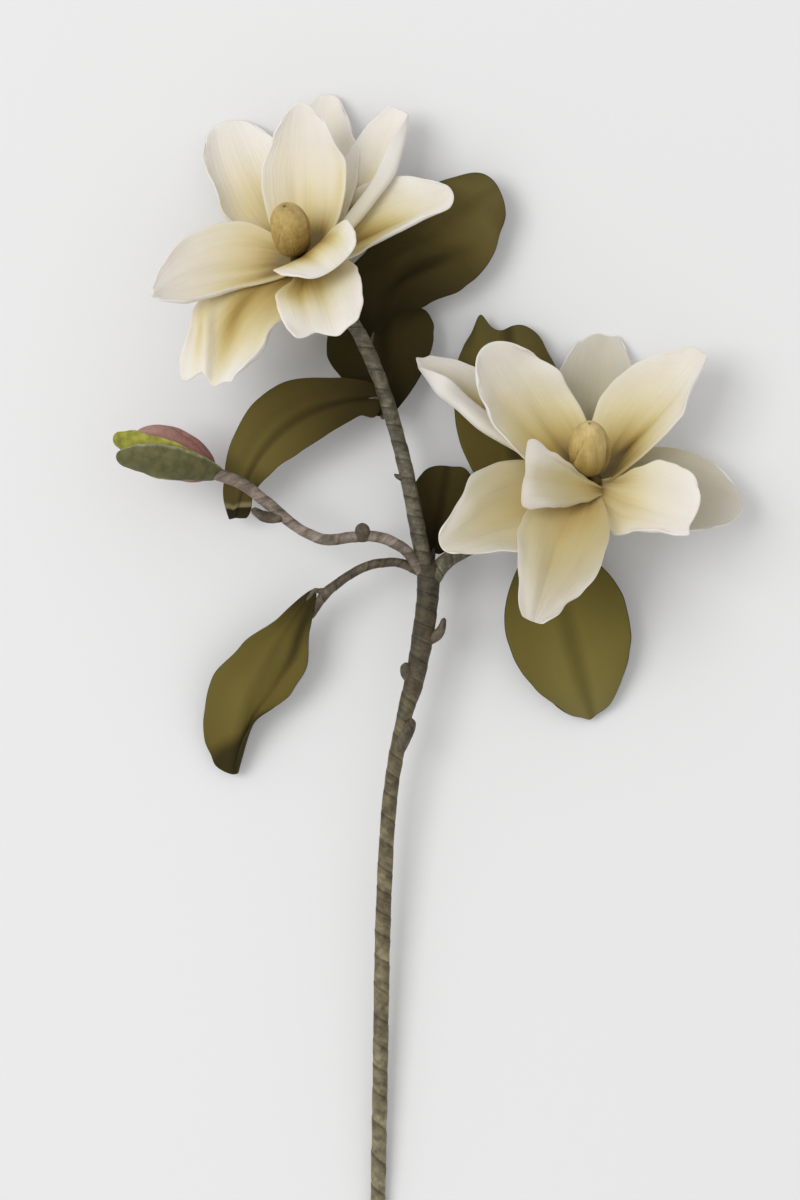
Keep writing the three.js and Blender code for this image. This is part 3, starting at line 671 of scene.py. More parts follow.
def grid_mesh(name, grid, closed=False, dye=None):
    """A mesh of quads from rows of points, in millimetres. A closed grid joins its last column to its
    first."""
    rows, columns = grid.shape[:2]
    i, j = np.meshgrid(np.arange(rows - 1), np.arange(columns if closed else columns - 1), indexing="ij")
    corners = np.stack([(i, j), (i, j + 1), (i + 1, j + 1), (i + 1, j)], axis=-1).transpose(1, 2, 3, 0)
    corners = corners.reshape(-1, 4, 2)
    index = corners[..., 0] * columns + corners[..., 1] % columns
    mesh = bpy.data.meshes.new(name)
    mesh.from_pydata((grid.reshape(-1, 3) * MM).tolist(), [], index.tolist())
    share = corners[..., ::-1] / np.array([columns if closed else columns - 1, rows - 1])
    write_map(mesh, "blade", share)
    steps_long = np.linalg.norm(np.diff(grid, axis=0), axis=-1).mean() * MM
    steps_wide = np.linalg.norm(np.diff(grid, axis=1), axis=-1).mean() * MM
    write_map(mesh, "cloth", corners[..., ::-1] * np.array([steps_wide, steps_long]))
    if dye is not None:
        depth = dye[corners[..., 0], corners[..., 1]]
        write_map(mesh, "dye", np.stack([depth, 0 * depth], axis=-1))
    return mesh


# %% [markdown]
# A sheet without thickness looks like paper. A Solidify modifier gives it a real thickness, with the back
# and the rim in a second material, and a Subdivision Surface modifier rounds it, the rim too. Both stay
# live, so the mesh underneath is light and easy to change. Points are kept just above the floor, where
# petals rest on it.

# %% A sheet with thickness
ABOVE_FLOOR = 0.7    # the lowest place of the middle of a sheet, in thicknesses


def blade_piece(name, grid, thickness, node, front, back, dye=None):
    """A petal, leaf or bract: a solid sheet with its own front and back materials."""
    grid = grid.copy()
    grid[..., 2] = np.maximum(grid[..., 2], ABOVE_FLOOR * thickness)
    piece = add_piece(name, grid_mesh(name, grid, dye=dye), node, [front, back])
    shell = piece.modifiers.new("thickness", "SOLIDIFY")
    shell.thickness = thickness * MM
    shell.offset = 0
    shell.material_offset = 1
    shell.material_offset_rim = 1
    rounding = piece.modifiers.new("rounding", "SUBSURF")
    rounding.levels = 1
    rounding.render_levels = 1
    return piece


# %% [markdown]
# ## Petal finish
#
# The petals are thick soft foam: off-white at the tip and tinted yellow and olive towards the foot, and the
# darkest tone at the very foot is painted shade down by the heart. A picture of each petal could be painted,
# but a colour ramp over Along does the same and stays sharp. Fine streaks shift the ramp a little, so that
# the tint fades in along the veins as dye would, and the edges stay pale. Where painted shade lies, the
# ramp moves back towards the foot by its depth, so that the spot takes the tone that the same petal has
# lower down.

# %% Petal material
DEEPEST_TONE = 0.03    # painted shade never moves the ramp further back than this


def less_the_dye_and_shade(tree, share):
    """A share along the blade, moved back towards the foot where painted shade lies."""
    moved = calculate(tree, "SUBTRACT", share, map_parts(tree, "dye")["X"])
    return calculate(tree, "MAXIMUM", moved, DEEPEST_TONE)


def petal_material(name, stops, second, count, edge_shift, streak_shift, depth):
    """Soft foam with a tint that changes from foot to tip, with painted shade, and stays paler at the edges.
    """
    material, tree, shader = new_material(
        name, Roughness=0.62, Specular_IOR_Level=0.3, Subsurface_Weight=0.1, Subsurface_Scale=0.005,
    )
    place = use_group(tree, BLADE_PLACE)
    lines = use_group(tree, STREAKS, Count=count, Waver=1.6)
    shift = calculate(tree, "MULTIPLY", calculate(tree, "SUBTRACT", lines.outputs["Mask"], 0.5), streak_shift)
    edge = calculate(tree, "POWER", place.outputs["Edge"], 2.0)
    paler = calculate(tree, "MULTIPLY", edge, edge_shift)
    share = calculate(tree, "ADD", calculate(tree, "ADD", place.outputs["Along"], shift), paler)
    tint = colour_ramp(tree, less_the_dye_and_shade(tree, share), stops)
    feed(tree, shader.inputs["Base Color"], mottled(tree, tint, second, 0.03, 0.18))
    add_bump(tree, shader, lines.outputs["Mask"], depth)
    return material


# %% [markdown]
# Five finishes cover the eighteen petals. Cream is the usual one. The yellower one, partly a yellower tint
# and partly painted shade, is on petals that are mostly in the middle of a bloom or hanging from it. The
# darker one on the hanging petals of the lower bloom and the greyer one on the outermost ones behind it are
# painted shade, and every petal has the same plain off-white back.

# %% The five petal finishes
# The darkest stops at the foot of these ramps are painted shade down by the heart.
CREAM = [
    (0.0, 0x64501C), (0.06, 0x8C7335), (0.13, 0xB39A58), (0.22, 0xCDB97F), (0.34, 0xDDCE9F),
    (0.5, 0xE5DCC0), (0.7, 0xEAE3D3), (0.88, 0xECE6DC), (1.0, 0xEEE9E2),
]
YELLOWER_AND_SHADED = [
    (0.0, 0x4E3A12), (0.08, 0x745B24), (0.17, 0x9E8342), (0.28, 0xBDA563), (0.4, 0xCEBD84),
    (0.54, 0xDBCFA5), (0.7, 0xE3DBC2), (0.86, 0xE8E2D4), (1.0, 0xECE7DF),
]
SHADED = [
    (0.0, 0x6E5520), (0.1, 0x967B3E), (0.22, 0xB89E61), (0.4, 0xBFAD78), (0.6, 0xBFB288),
    (0.8, 0xC3BA9E), (1.0, 0xD2CCBF),
]
GREYER_SHADE = [(0.0, 0x5C4A20), (0.2, 0x9A8856), (0.5, 0xBBB294), (0.8, 0xC8C2AE), (1.0, 0xD2CDC0)]
WHITE = [(0.0, 0x6E5A28), (0.14, 0x9F8B52), (0.3, 0xCFC4A2), (0.7, 0xE2DED4), (1.0, 0xE8E4DE)]
# The yellower finish is partly painted shade, and the darker hanging and greyer outer finishes are painted
# shade.
PETAL_FRONT = petal_material("cream petal", CREAM, 0xD6CDB8, 26.0, 0.2, 0.09, 0.0006)
PETAL_YELLOWER_AND_SHADED = petal_material("yellower petal with painted shade", YELLOWER_AND_SHADED, 0xBDAC7C, 24.0, 0.26, 0.12, 0.0006)
PETAL_SHADED = petal_material("hanging petal in painted shade", SHADED, 0xA3956C, 22.0, 0.32, 0.12, 0.0006)
PETAL_GREYER_SHADE = petal_material("outer petal in painted shade", GREYER_SHADE, 0xA49D87, 22.0, 0.1, 0.08, 0.0005)
PETAL_BACK = petal_material("petal back", WHITE, 0xCFCAC0, 18.0, 0.1, 0.08, 0.0004)
PETAL_FINISHES = (PETAL_FRONT, PETAL_YELLOWER_AND_SHADED, PETAL_SHADED, PETAL_GREYER_SHADE, PETAL_BACK)
print("Petal finishes:", ", ".join(finish.name for finish in PETAL_FINISHES))

# %% [markdown]
# ## The petals of the two blooms
#
# Each bloom has nine petals in three whorls round one axis, which leans towards the viewer and up. The
# inner ones stand up and the front ones hang over. Every petal is its own piece, so that each can keep
# its own fold: petals that are all copies of one look like a toy windmill. A petal is given by its tip,
# and its foot follows from the bloom: it lies on a small ring round the axis, on the side of the tip.

# %% Where the blooms are, and a petal on one
PETAL_THICKNESS = 2.0
PETAL_RING = 7
WHORL_LIFT = {"outer": -4, "middle": -1, "inner": 2}
UPPER_BLOOM = dict(centre=at(-100.5, 315, 66), axis=unit(at(-0.14, 0.66, 0.74)))
LOWER_BLOOM = dict(centre=at(129, 137, 70), axis=unit(at(0, 0.74, 0.67)))


def petal(name, bloom, node, whorl, tip, foot_turn=0, ring=PETAL_RING, front=PETAL_FRONT, **shape):
    """One petal, from its foot on the ring round the bloom's axis to its tip."""
    centre, axis = bloom["centre"], bloom["axis"]
    outwards = turned(squared(tip - centre, axis), axis, math.radians(foot_turn))
    foot = centre + outwards * ring + axis * WHORL_LIFT[whorl]
    grid = blade_grid(foot, tip, axis, **shape)
    return blade_piece(name, grid, PETAL_THICKNESS, node, front, PETAL_BACK, dye_and_shade_depth(shape))


def add_petals(bloom, node, petals):
    """Makes the petals of one table, and says which they are."""
    for name, shape in petals.items():
        petal(name, bloom, node, **shape)
    print("Petals:", ", ".join(petals))


# %% [markdown]
# ## The upper bloom
#
# The outermost three petals come first: one stands behind the bloom, one reaches to the right with its
# lower edge curled over, and one hangs down to the left. In the photograph each petal's tip, widest place
# and folds can be measured, and the values here follow them. Its depth can't, so it follows from how such
# a petal hangs.

# %% Its outer petals
UPPER_OUTER = {
    "upper_petal_behind": dict(
        whorl="outer", tip=at(-81, 458, 6), width=68, widest=0.5, end=0.46, belly=12, cup=34,
        blunt=0.9,
        right_widths=((0, 1), (0.6, 1.05), (0.7, 1.08), (0.8, 0.92), (1, 0.9)),
        dents=((0.6, 0, 0.4, 0.4, -3, 0),),
    ),
    "upper_petal_right": dict(
        front=PETAL_YELLOWER_AND_SHADED, whorl="outer", tip=at(20.5, 368, 66), width=60, widest=0.55, end=0.5,
        belly=10, sway=-9, roll=12, cup=26, blunt=0.7,
        left_widths=((0, 1), (0.45, 1.4), (0.7, 1.34), (1, 1)),
        right_widths=((0, 0.8), (0.35, 0.62), (0.6, 0.56), (0.85, 0.62), (1, 0.8)),
        right=(150, 0.62, 1), right_span=(0.3, 1),
        dents=((0.5, 0, 0.3, 0.2, -2, 0),),
        dye=((0.45, 0.1, 0.3, 0.3, 0.22, 0),),
    ),
    "upper_petal_hanging_left": dict(
        front=PETAL_YELLOWER_AND_SHADED, whorl="outer", tip=at(-178, 221, 92), rows=48, columns=36, width=66,
        widest=0.55, end=0.6, belly=-8, sway=9, roll=-8, cup=6, blunt=0.15, waves=2,
        left_widths=((0, 1), (0.4, 1.2), (0.75, 1.55), (1, 1.3)),
        right_widths=((0, 1), (0.6, 1.12), (0.8, 0.95), (1, 1.1)),
        left=(100, 0.6, 1), left_span=(0.3, 1.02),
        tips=((0.75, 8, 0.3), (0.1, -3, 0.2), (-0.35, 5, 0.22)),
        dents=(
            (0.8, 0.3, 0.4, 0.14, 5, -1.6), (0.8, -0.15, 0.4, 0.2, -3, -0.8),
            (0.85, 0.75, 0.3, 0.2, -2, -1),
        ),
        dye=(
            (0.75, 0.6, 0.3, 0.15, 0.25, -1.2), (0.65, 0, 0.35, 0.25, 0.24, -0.8),
            (0.7, 0, 0.4, 1.5, 0.1, 0),
        ),
    ),
}
add_petals(UPPER_BLOOM, "petals_upper", UPPER_OUTER)

# %% [markdown]
# Two of the middle whorl stand up at the left and the right, and the one on the right has its right side
# rolled over so far that its back shows. The third hangs over in front, wide and almost square at its
# end.

# %% Its middle petals
UPPER_MIDDLE = {
    "upper_petal_top_left": dict(
        whorl="middle", tip=at(-164.5, 436.5, 0.4), width=72, foot_share=0.35, widest=0.68, end=0.66,
        belly=4, sway=-6, cup=32, blunt=1,
        left_widths=((0, 0.9), (0.2, 1.05), (0.4, 1.3), (0.65, 1), (1, 1)),
        left=(60, 0.65, 1), left_span=(0.05, 0.85),
        dents=((0.65, -0.45, 0.3, 0.3, -3, 0), (0.4, 0.3, 0.3, 0.3, -2, 0)),
        dye=((0.6, 0, 0.3, 0.4, 0.15, 0),),
    ),
    "upper_petal_top_right": dict(
        whorl="middle", tip=at(-20.5, 441, 32), width=64, foot_share=0.35, end=0.4, belly=10, sway=6,
        cup=24, blunt=0.15, slant=-3,
        right_widths=((0, 1.2), (0.25, 0.95), (0.45, 0.95), (0.65, 1.15), (0.85, 1), (1, 0.9)),
        right=(170, 0.35, 0.75), right_span=(-0.05, 1.05),
        dents=((0.45, -0.2, 0.4, 0.15, -2, 0),),
        dye=((0.4, -0.1, 0.35, 0.25, 0.2, 0.3),),
    ),
    "upper_petal_hanging_right": dict(
        front=PETAL_YELLOWER_AND_SHADED, whorl="middle", tip=at(-76, 252, 140), width=76, foot_share=0.35,
        end=0.82, belly=-12, cup=16, blunt=0.22, waves=2.5, wave_count=2,
        left_widths=((0, 1.15), (0.3, 1.05), (0.6, 0.96), (0.9, 0.88), (1, 0.8)),
        right_widths=((0, 0.4), (0.25, 0.45), (0.55, 0.9), (1, 0.98)),
        tips=((-0.2, 3, 0.25), (0.4, -4, 0.2), (0.95, 2, 0.2)),
        dents=(
            (0.55, -0.1, 0.3, 0.14, -2.5, 0.2), (0.6, 0.4, 0.3, 0.14, -2, 0),
            (0.7, -0.55, 0.3, 0.2, 2, 0),
        ),
        dye=((0.45, 0.55, 0.3, 0.6, 0.26, 0), (0.12, -0.2, 0.16, 0.8, -0.08, 0)),
    ),
}
add_petals(UPPER_BLOOM, "petals_upper", UPPER_MIDDLE)

# %% [markdown]
# The inner three lie closest to the heart: one stands behind it, one reaches far out to the left in a
# point, and a short one folds forward below it. Strokes of painted shade follow their creases.

# %% Its inner petals
UPPER_INNER = {
    "upper_petal_middle": dict(
        whorl="inner", tip=at(-101.5, 442.5, 66), width=74, foot_share=0.45, widest=0.5, end=0.36,
        belly=14, cup=34, blunt=0.7,
        left_widths=((0, 1), (0.6, 1), (0.8, 0.93), (1, 1)),
        right_widths=((0, 1), (0.5, 1), (0.62, 1.04), (0.8, 0.9), (1, 1)),
        tips=((-0.2, 2, 0.28),),
        dents=(
            (0.3, -0.28, 0.25, 0.09, -2.2, 0), (0.3, 0.05, 0.25, 0.08, -1.6, 0),
            (0.5, 0.3, 0.5, 0.2, 2, 0),
        ),
        dye=(
            (0.08, 0.5, 0.17, 0.45, 0.17, 0), (0.55, 0.85, 0.25, 0.14, 0.3, 0),
            (0.8, -0.6, 0.3, 0.25, 0.15, 0),
        ),
    ),
    "upper_petal_left": dict(
        whorl="inner", tip=at(-219, 283, 106), width=78, foot_share=0.45, widest=0.36, end=0.14,
        lop=0.08, belly=12, sway=8, roll=-28, cup=26, blunt=0.3, hook=(20, 0.85),
        left_widths=((0, 0.5), (0.33, 0.5), (0.63, 0.66), (0.85, 0.9), (1, 1)),
        right_widths=((0, 0.8), (0.25, 1.02), (0.6, 1.05), (1, 1)),
        left=(120, 0.62, 1), left_span=(0.1, 1.02),
        tips=((0, 4, 0.28),),
        dents=(
            (0.35, 0.1, 0.3, 0.1, -2.5, 0.3), (0.4, -0.25, 0.3, 0.1, -1.5, 0),
            (0.65, 0.3, 0.3, 0.3, 2, 0),
        ),
        dye=((0.45, -0.5, 0.4, 0.25, 0.2, 0), (0.12, 0, 0.15, 1, 0.05, 0)),
    ),
    "upper_petal_front_fold": dict(
        front=PETAL_YELLOWER_AND_SHADED, whorl="inner", tip=at(-72, 305, 136), width=72, foot_share=0.35,
        end=0.72, belly=-14, roll=8, cup=16, blunt=0.35, waves=2, wave_count=2, hook=(-50, 0.8),
        left_widths=((0, 0.9), (0.7, 1), (1, 1.05)),
        dents=((0.7, 0.2, 0.3, 0.15, -2, 0),),
        dye=((0.6, -0.45, 0.4, 0.3, 0.35, 0), (0.45, 0.3, 0.35, 0.5, 0.34, 0)),
    ),
}
add_petals(UPPER_BLOOM, "petals_upper", UPPER_INNER)

# %% [markdown]
# ## The lower bloom
#
# It is built as the upper one is, with its own nine petals. The two behind it are greyer, and the large
# one that hangs to the left is darker: both tones are painted shade.

# %% Its petals at the back
LOWER_BACK = {
    "lower_petal_behind": dict(
        front=PETAL_GREYER_SHADE, whorl="outer", tip=at(141.5, 261.5, 0.4), width=66, end=0.6, belly=10,
        cup=30, blunt=0.6,
        left_widths=((0, 1), (0.75, 1.12), (0.88, 1.04), (1, 1.05)),
        tips=((0.75, 3, 0.2), (-0.1, 1.5, 0.2), (-0.75, -3, 0.2)),
        dents=((0.6, 0, 0.4, 0.4, -3, 0),),
    ),
    "lower_petal_right_back": dict(
        front=PETAL_GREYER_SHADE, whorl="outer", tip=at(253, 115, 40), width=76, widest=0.6, end=0.6,
        belly=6, sway=-12, roll=22, cup=16, blunt=0.95, waves=0.8, ragged=0.2,
    ),
    "lower_petal_hanging_left": dict(
        front=PETAL_SHADED, whorl="outer", tip=at(9.7, 86, 94), width=82, widest=0.5, end=0.35,
        belly=-6, sway=2, roll=-22, cup=14, blunt=0.5, waves=2, wave_count=3,
        left_widths=((0, 0.8), (0.3, 0.96), (0.5, 0.95), (0.7, 0.75), (1, 0.66)),
        right_widths=((0, 1), (0.5, 1.08), (0.62, 1.08), (0.75, 0.85), (0.9, 0.75), (1, 0.8)),
        dents=(
            (0.5, 0.1, 0.4, 0.25, -3, 0), (0.55, 0.55, 0.3, 0.15, 2.5, -0.6),
            (0.5, -0.4, 0.3, 0.15, 2, 0),
        ),
    ),
}
add_petals(LOWER_BLOOM, "petals_lower", LOWER_BACK)

# %% [markdown]
# Next come the petal at the upper left, with its lower side rolled over, the long one that hangs down in
# the middle, and the pointed one at the upper right.

# %% Its petals at the sides and below
LOWER_MIDDLE = {
    "lower_petal_left_back": dict(
        front=PETAL_YELLOWER_AND_SHADED, whorl="middle", tip=at(-6, 237.5, 38), width=66, end=0.35, belly=10,
        sway=4, cup=34, blunt=0.4,
        left_widths=((0, 1), (0.35, 1), (0.55, 1.3), (0.7, 1.15), (0.85, 1.5), (1, 1.2)),
        left=(160, 0.35, 0.8), left_span=(-0.05, 1.03),
        tips=((0, 5, 0.28),),
        dents=((0.5, 0.1, 0.4, 0.2, -3, 0),),
        dye=((0.45, 0.15, 0.35, 0.3, 0.35, 0),),
    ),
    "lower_petal_hanging": dict(
        front=PETAL_SHADED, whorl="outer", tip=at(84, 26.5, 114), width=78, foot_share=0.35,
        widest=0.42, end=0.3, belly=-14, sway=-2, cup=14, blunt=0.15, waves=3, wave_count=3.2,
        left_widths=(
            (0, 0.8), (0.4, 0.9), (0.6, 0.97), (0.76, 0.96), (0.84, 0.74), (0.92, 0.85), (1, 0.6),
        ),
        right_widths=((0, 1.1), (0.45, 1), (0.65, 0.85), (0.85, 0.85), (1, 1)),
        dents=(
            (0.5, 0.1, 0.35, 0.12, -3, 0), (0.6, 0.5, 0.4, 0.18, 3, -0.4),
            (0.6, -0.35, 0.3, 0.14, 2.5, 0.5),
        ),
    ),
    "lower_petal_right": dict(
        front=PETAL_YELLOWER_AND_SHADED, whorl="middle", tip=at(220, 245, 52), width=64, foot_share=0.35,
        end=0.34, belly=10, sway=-8, cup=28, blunt=0.12, slant=2,
        left_widths=((0, 1.1), (0.5, 1.32), (0.7, 1.22), (0.9, 1), (1, 1)),
        right=(90, 0.65, 1), right_span=(0.65, 1.12),
        dents=(
            (0.35, 0.2, 0.3, 0.08, -2.2, 0.4), (0.4, -0.15, 0.3, 0.08, -1.6, 0.2),
            (0.5, 0.55, 0.3, 0.15, 2, 0),
        ),
        dye=((0.35, 0.25, 0.3, 0.15, 0.12, 0.3), (0.1, 0.3, 0.25, 0.8, 0.16, 0)),
    ),
}
add_petals(LOWER_BLOOM, "petals_lower", LOWER_MIDDLE)

# %% [markdown]
# The last three lie round the heart. The smallest one folds over in front: it starts further round the
# ring, turned by foot_turn, and its right side is kept narrow up to the fold.

# %% Its petals in front
LOWER_FRONT = {
    "lower_petal_left": dict(
        front=PETAL_YELLOWER_AND_SHADED, whorl="inner", tip=at(44.5, 248, 66), width=90, foot_share=0.4, end=0.58,
        belly=12, sway=2, cup=28, blunt=0.9, waves=3, wave_count=3,
        left=(50, 0.8, 1), left_span=(0.2, 0.95),
        dents=(
            (0.3, 0.2, 0.3, 0.1, -2, 0.3), (0.3, -0.2, 0.3, 0.1, -1.6, 0),
            (0.6, -0.35, 0.3, 0.3, -2, 0),
        ),
        dye=((0.1, 0.3, 0.25, 0.8, 0.1, 0),),
    ),
    "lower_petal_right_front": dict(
        whorl="inner", tip=at(211, 110, 98), width=88, foot_share=0.4, widest=0.55, end=0.6, belly=8,
        sway=-5, roll=26, cup=18, blunt=0.35, slant=3,
        left_widths=((0, 0.25), (0.15, 0.35), (0.3, 0.6), (0.48, 0.78), (1, 0.88)),
        right_widths=((0, 1.25), (0.25, 1.1), (0.5, 0.8), (1, 0.7)),
        right=(110, 0.74, 1), right_span=(0.45, 0.9),
        tips=((1, 10, 0.35),),
        dents=((0.4, 0.2, 0.3, 0.12, -2.5, 0), (0.6, -0.2, 0.3, 0.3, 2, 0)),
        dye=(
            (0.5, 0.55, 0.25, 0.2, 0.12, 0), (0.12, 0.3, 0.14, 0.8, -0.06, 0),
            (0.2, -0.8, 0.2, 0.5, 0.14, 0),
        ),
    ),
    "lower_petal_front_fold": dict(
        front=PETAL_SHADED, whorl="inner", tip=at(73, 143, 112), foot_turn=112, ring=13, width=62,
        foot_share=0.45, widest=0.9, end=0.95, belly=-8, roll=-50, cup=8, blunt=0.1, waves=2,
        wave_count=1.8, hook=(-60, 0.85),
        left_widths=((0, 0.35), (0.23, 0.6), (0.5, 0.75), (1, 0.85)),
        right_widths=((0, 0.1), (0.2, 0.22), (0.36, 0.36), (0.53, 0.56), (0.71, 0.72), (1, 1)),
        left=(-70, 0.75, 1), left_span=(0, 1.1),
        dents=((0.7, 0.1, 0.4, 0.25, -3, 0), (0.6, 0.6, 0.3, 0.15, 1.5, 0)),
    ),
}
add_petals(LOWER_BLOOM, "petals_lower", LOWER_FRONT)

# %% [markdown]
# ## Closed hearts and the bud
#
# In the middle of each bloom the smallest petals are still wrapped round each other, as a closed egg. One
# closed mesh shows this well: rings round an axis whose radius climbs slowly and then drops at a seam,
# three times a turn, with the seams twisting a little on their way up. The bud is a longer egg of the
# same kind.

# %% Wrapped egg
EGG_WRAPS = 3
EGG_SIDES = 120
EGG_RINGS = 60
EGG_ENDS = (0.03, 0.955)     # where the rings start and stop, as shares of a half circle
EGG_TWIST = 0.5              # how far the seams turn from bottom to top, in wraps
EGG_START = 0.05             # where the first seam starts, in wraps
EGG_SEAM = 0.06              # how wide the groove at a seam is, as a share of a wrap
EGG_OPENING = [(1.6, 0.2), (1.3, 1.6), (0.9, 2.6), (0.4, 2.2)]    # the small hollow on top: (radius, depth)


def wrapped_egg(start, axis, lean, neck, length, radius, relief=0.12, low=0.78, square=2.0, root_share=0.6):
    """Rings of points, in millimetres, of a closed egg of wrapped petals on a short neck.

    lean moves the egg aside on its neck; relief is how high the wraps stand, as a share of the radius;
    low below 1 puts the widest place lower down; square above 2 makes the egg fuller;
    root_share is the radius of the neck's foot, as a share of the egg's.
    """
    side = unit(np.cross(at(0.2, 0, 1), axis))
    other = np.cross(axis, side)
    foot = start + axis * neck + lean
    angle = np.arange(EGG_SIDES) / EGG_SIDES
    s = (1 - np.cos(np.linspace(*EGG_ENDS, EGG_RINGS) * math.pi)) / 2
    step = (EGG_TWIST * s[:, None] + EGG_START - EGG_WRAPS * angle[None]) % 1
    climb = step**1.6 - 0.45 - 0.5 * np.exp(-((step / EGG_SEAM) ** 2))
    size = radius * np.sqrt(np.clip(1 - np.abs(2 * s**low - 1) ** square, 0.0004, 1))[:, None]
    lumps = np.sin(13 * s[:, None] + 9 * angle[None] * math.pi)
    lumps = lumps * np.sin(9 * s[:, None] - 7 * angle[None] * math.pi)
    size = size * (1 + (relief * climb + 0.02 * lumps) * np.sin(math.pi * s[:, None]))
    ring = side * np.cos(2 * math.pi * angle)[:, None] + other * np.sin(2 * math.pi * angle)[:, None]
    grid = (foot + axis * length * s[:, None])[:, None] + ring[None] * size[..., None]
    root = start + ring[None] * radius * root_share
    hollow = [foot + axis * (length - depth) + ring * reach for reach, depth in EGG_OPENING]
    return np.concatenate([root, grid, hollow])


def egg_piece(name, rings, node, material):
    """A closed egg with both ends capped."""
    mesh = grid_mesh(name, rings, closed=True)
    return add_piece(name, cap_ends(mesh, rings), node, [material])


def cap_ends(mesh, rings):
    """The same mesh with one face over each open end."""
    work = bmesh.new()
    work.from_mesh(mesh)
    work.verts.ensure_lookup_table()
    count = rings.shape[1]
    work.faces.new([work.verts[n] for n in range(count)][::-1])
    work.faces.new([work.verts[len(work.verts) - count + n] for n in range(count)])
    work.to_mesh(mesh)
    work.free()
    return mesh


# %% [markdown]
# ## Heart finish
#
# The hearts are tan foam, darker low down and lighter towards their top, and the upper bloom's is the
# darker of the two. The bud is the same foam in dusty pink, and the dark foot of its ramp is painted shade.
# The streak group gives the same pressed veins as on the petals, and fine noise gives the slightly felted
# skin of the foam.

# %% Heart and bud materials
def wrapped_material(name, stops, second, patch, streak_count, depth, roughness):
    """Foam with a tint that changes from the foot to the tip of an egg."""
    material, tree, shader = new_material(
        name, Roughness=roughness, Specular_IOR_Level=0.3, Subsurface_Weight=0.08, Subsurface_Scale=0.004,
    )
    place = use_group(tree, BLADE_PLACE)
    lines = use_group(tree, STREAKS, Count=streak_count, Waver=2.0)
    shift = calculate(tree, "MULTIPLY", calculate(tree, "SUBTRACT", lines.outputs["Mask"], 0.5), 0.3)
    share = calculate(tree, "ADD", place.outputs["Along"], shift)
    tint = colour_ramp(tree, share, stops)
    feed(tree, shader.inputs["Base Color"], mottled(tree, tint, second, patch, 0.5))
    felted = object_noise(tree, 320.0, 3.0)
    add_bump(tree, shader, calculate(tree, "ADD", lines.outputs["Mask"], felted), depth)
    return material


HEART = wrapped_material(
    "tan heart",
    [(0.0, 0x33260D), (0.18, 0x604A1C), (0.4, 0x98803F), (0.62, 0xC9AF6E), (1.0, 0xD9C48C)],
    second=0x9A7F44, patch=0.008, streak_count=30.0, depth=0.0009, roughness=0.55,
)
DARKER_HEART = wrapped_material(
    "darker tan heart",
    [(0.0, 0x3A2B10), (0.12, 0x6E5522), (0.35, 0xA1864A), (0.65, 0xC2A766), (1.0, 0xC7AE72)],
    second=0x8C6F36, patch=0.006, streak_count=30.0, depth=0.0011, roughness=0.55,
)
# The dark pink at the foot of this ramp is painted shade.
PINK = wrapped_material(
    "dusty pink",
    [(0.0, 0x4E302A), (0.22, 0x84594F), (0.45, 0x9C7066), (0.75, 0xB0897E), (1.0, 0xBCA08C)],
    second=0x80554C, patch=0.008, streak_count=60.0, depth=0.0008, roughness=0.6,
)
print("Egg finishes:", ", ".join(finish.name for finish in (HEART, DARKER_HEART, PINK)))

# %% [markdown]
# The two hearts stand on their discs, 4.35 mm up the bloom's axis. The bud lies at the end of its twig
# and points away from it, so it gets an axis of its own and a narrow root.

# %% The two hearts and the pink bud
HEART_SEAT = 4.35


def heart(name, bloom, node, material, **shape):
    """The closed heart that stands in the middle of a bloom."""
    start = bloom["centre"] + bloom["axis"] * HEART_SEAT
    egg_piece(name, wrapped_egg(start, bloom["axis"], **shape), node, material)


heart(
    "upper_heart", UPPER_BLOOM, "heart_upper", DARKER_HEART,
    lean=at(-4.5, 0, 0), neck=9, length=48, radius=15.6, square=2.7,
)
heart(
    "lower_heart", LOWER_BLOOM, "heart_lower", HEART,
    lean=at(-2, 0, 0), neck=9, length=50, radius=16.4, relief=0.2,
)
BUD_AXIS = unit(at(-0.907, 0.419, 0.02))
bud = wrapped_egg(
    at(-171, 146.5, 59), BUD_AXIS, lean=at(0, 0, 0), neck=1, length=71, radius=19.5, relief=0.08, low=1,
    root_share=0.22,
)
egg_piece("bud_pink_petals", bud, "bud_petals", PINK)
print("Two hearts and a bud, each with", EGG_WRAPS, "wraps")

# %% [markdown]
# ## The discs under the blooms
#
# Between the petals' feet one looks down into a dark hollow. A small disc of foam closes it, where the real
# petals are glued together, and its dark brown-olive is painted shade.

# %% Throat of each bloom
THROAT_SIDES = 32
THROAT_PROFILE = [(8, -9), (10, -5), (11, 0), (10.6, 2.6), (9, 3.8), (5, 4.2), (1, 4.3)]    # (radius, rise)


def painted_shade_throat_material():
    """Foam in a dark brown-olive, painted shade for the hollow."""
    material, tree, shader = new_material("throat", Roughness=0.8)
    feed(tree, shader.inputs["Base Color"], mottled(tree, screen_colour(0x725B2A), 0x4A3816, 0.005, 0.8))
    return material


def throat(name, bloom, node, material):
    """A low rounded disc round the bloom's axis."""
    axis = bloom["axis"]
    side = unit(np.cross(at(0.2, 0, 1), axis))
    other = np.cross(axis, side)
    angle = np.arange(THROAT_SIDES) / THROAT_SIDES * 2 * math.pi
    ring = side * np.cos(angle)[:, None] + other * np.sin(angle)[:, None]
    rings = np.stack([bloom["centre"] + axis * rise + ring * reach for reach, rise in THROAT_PROFILE])
    egg_piece(name, rings, node, material)


THROAT_SHADE = painted_shade_throat_material()
throat("upper_throat", UPPER_BLOOM, "petals_upper", THROAT_SHADE)
throat("lower_throat", LOWER_BLOOM, "petals_lower", THROAT_SHADE)
print("Discs are", 2 * max(reach for reach, _ in THROAT_PROFILE), "mm across")

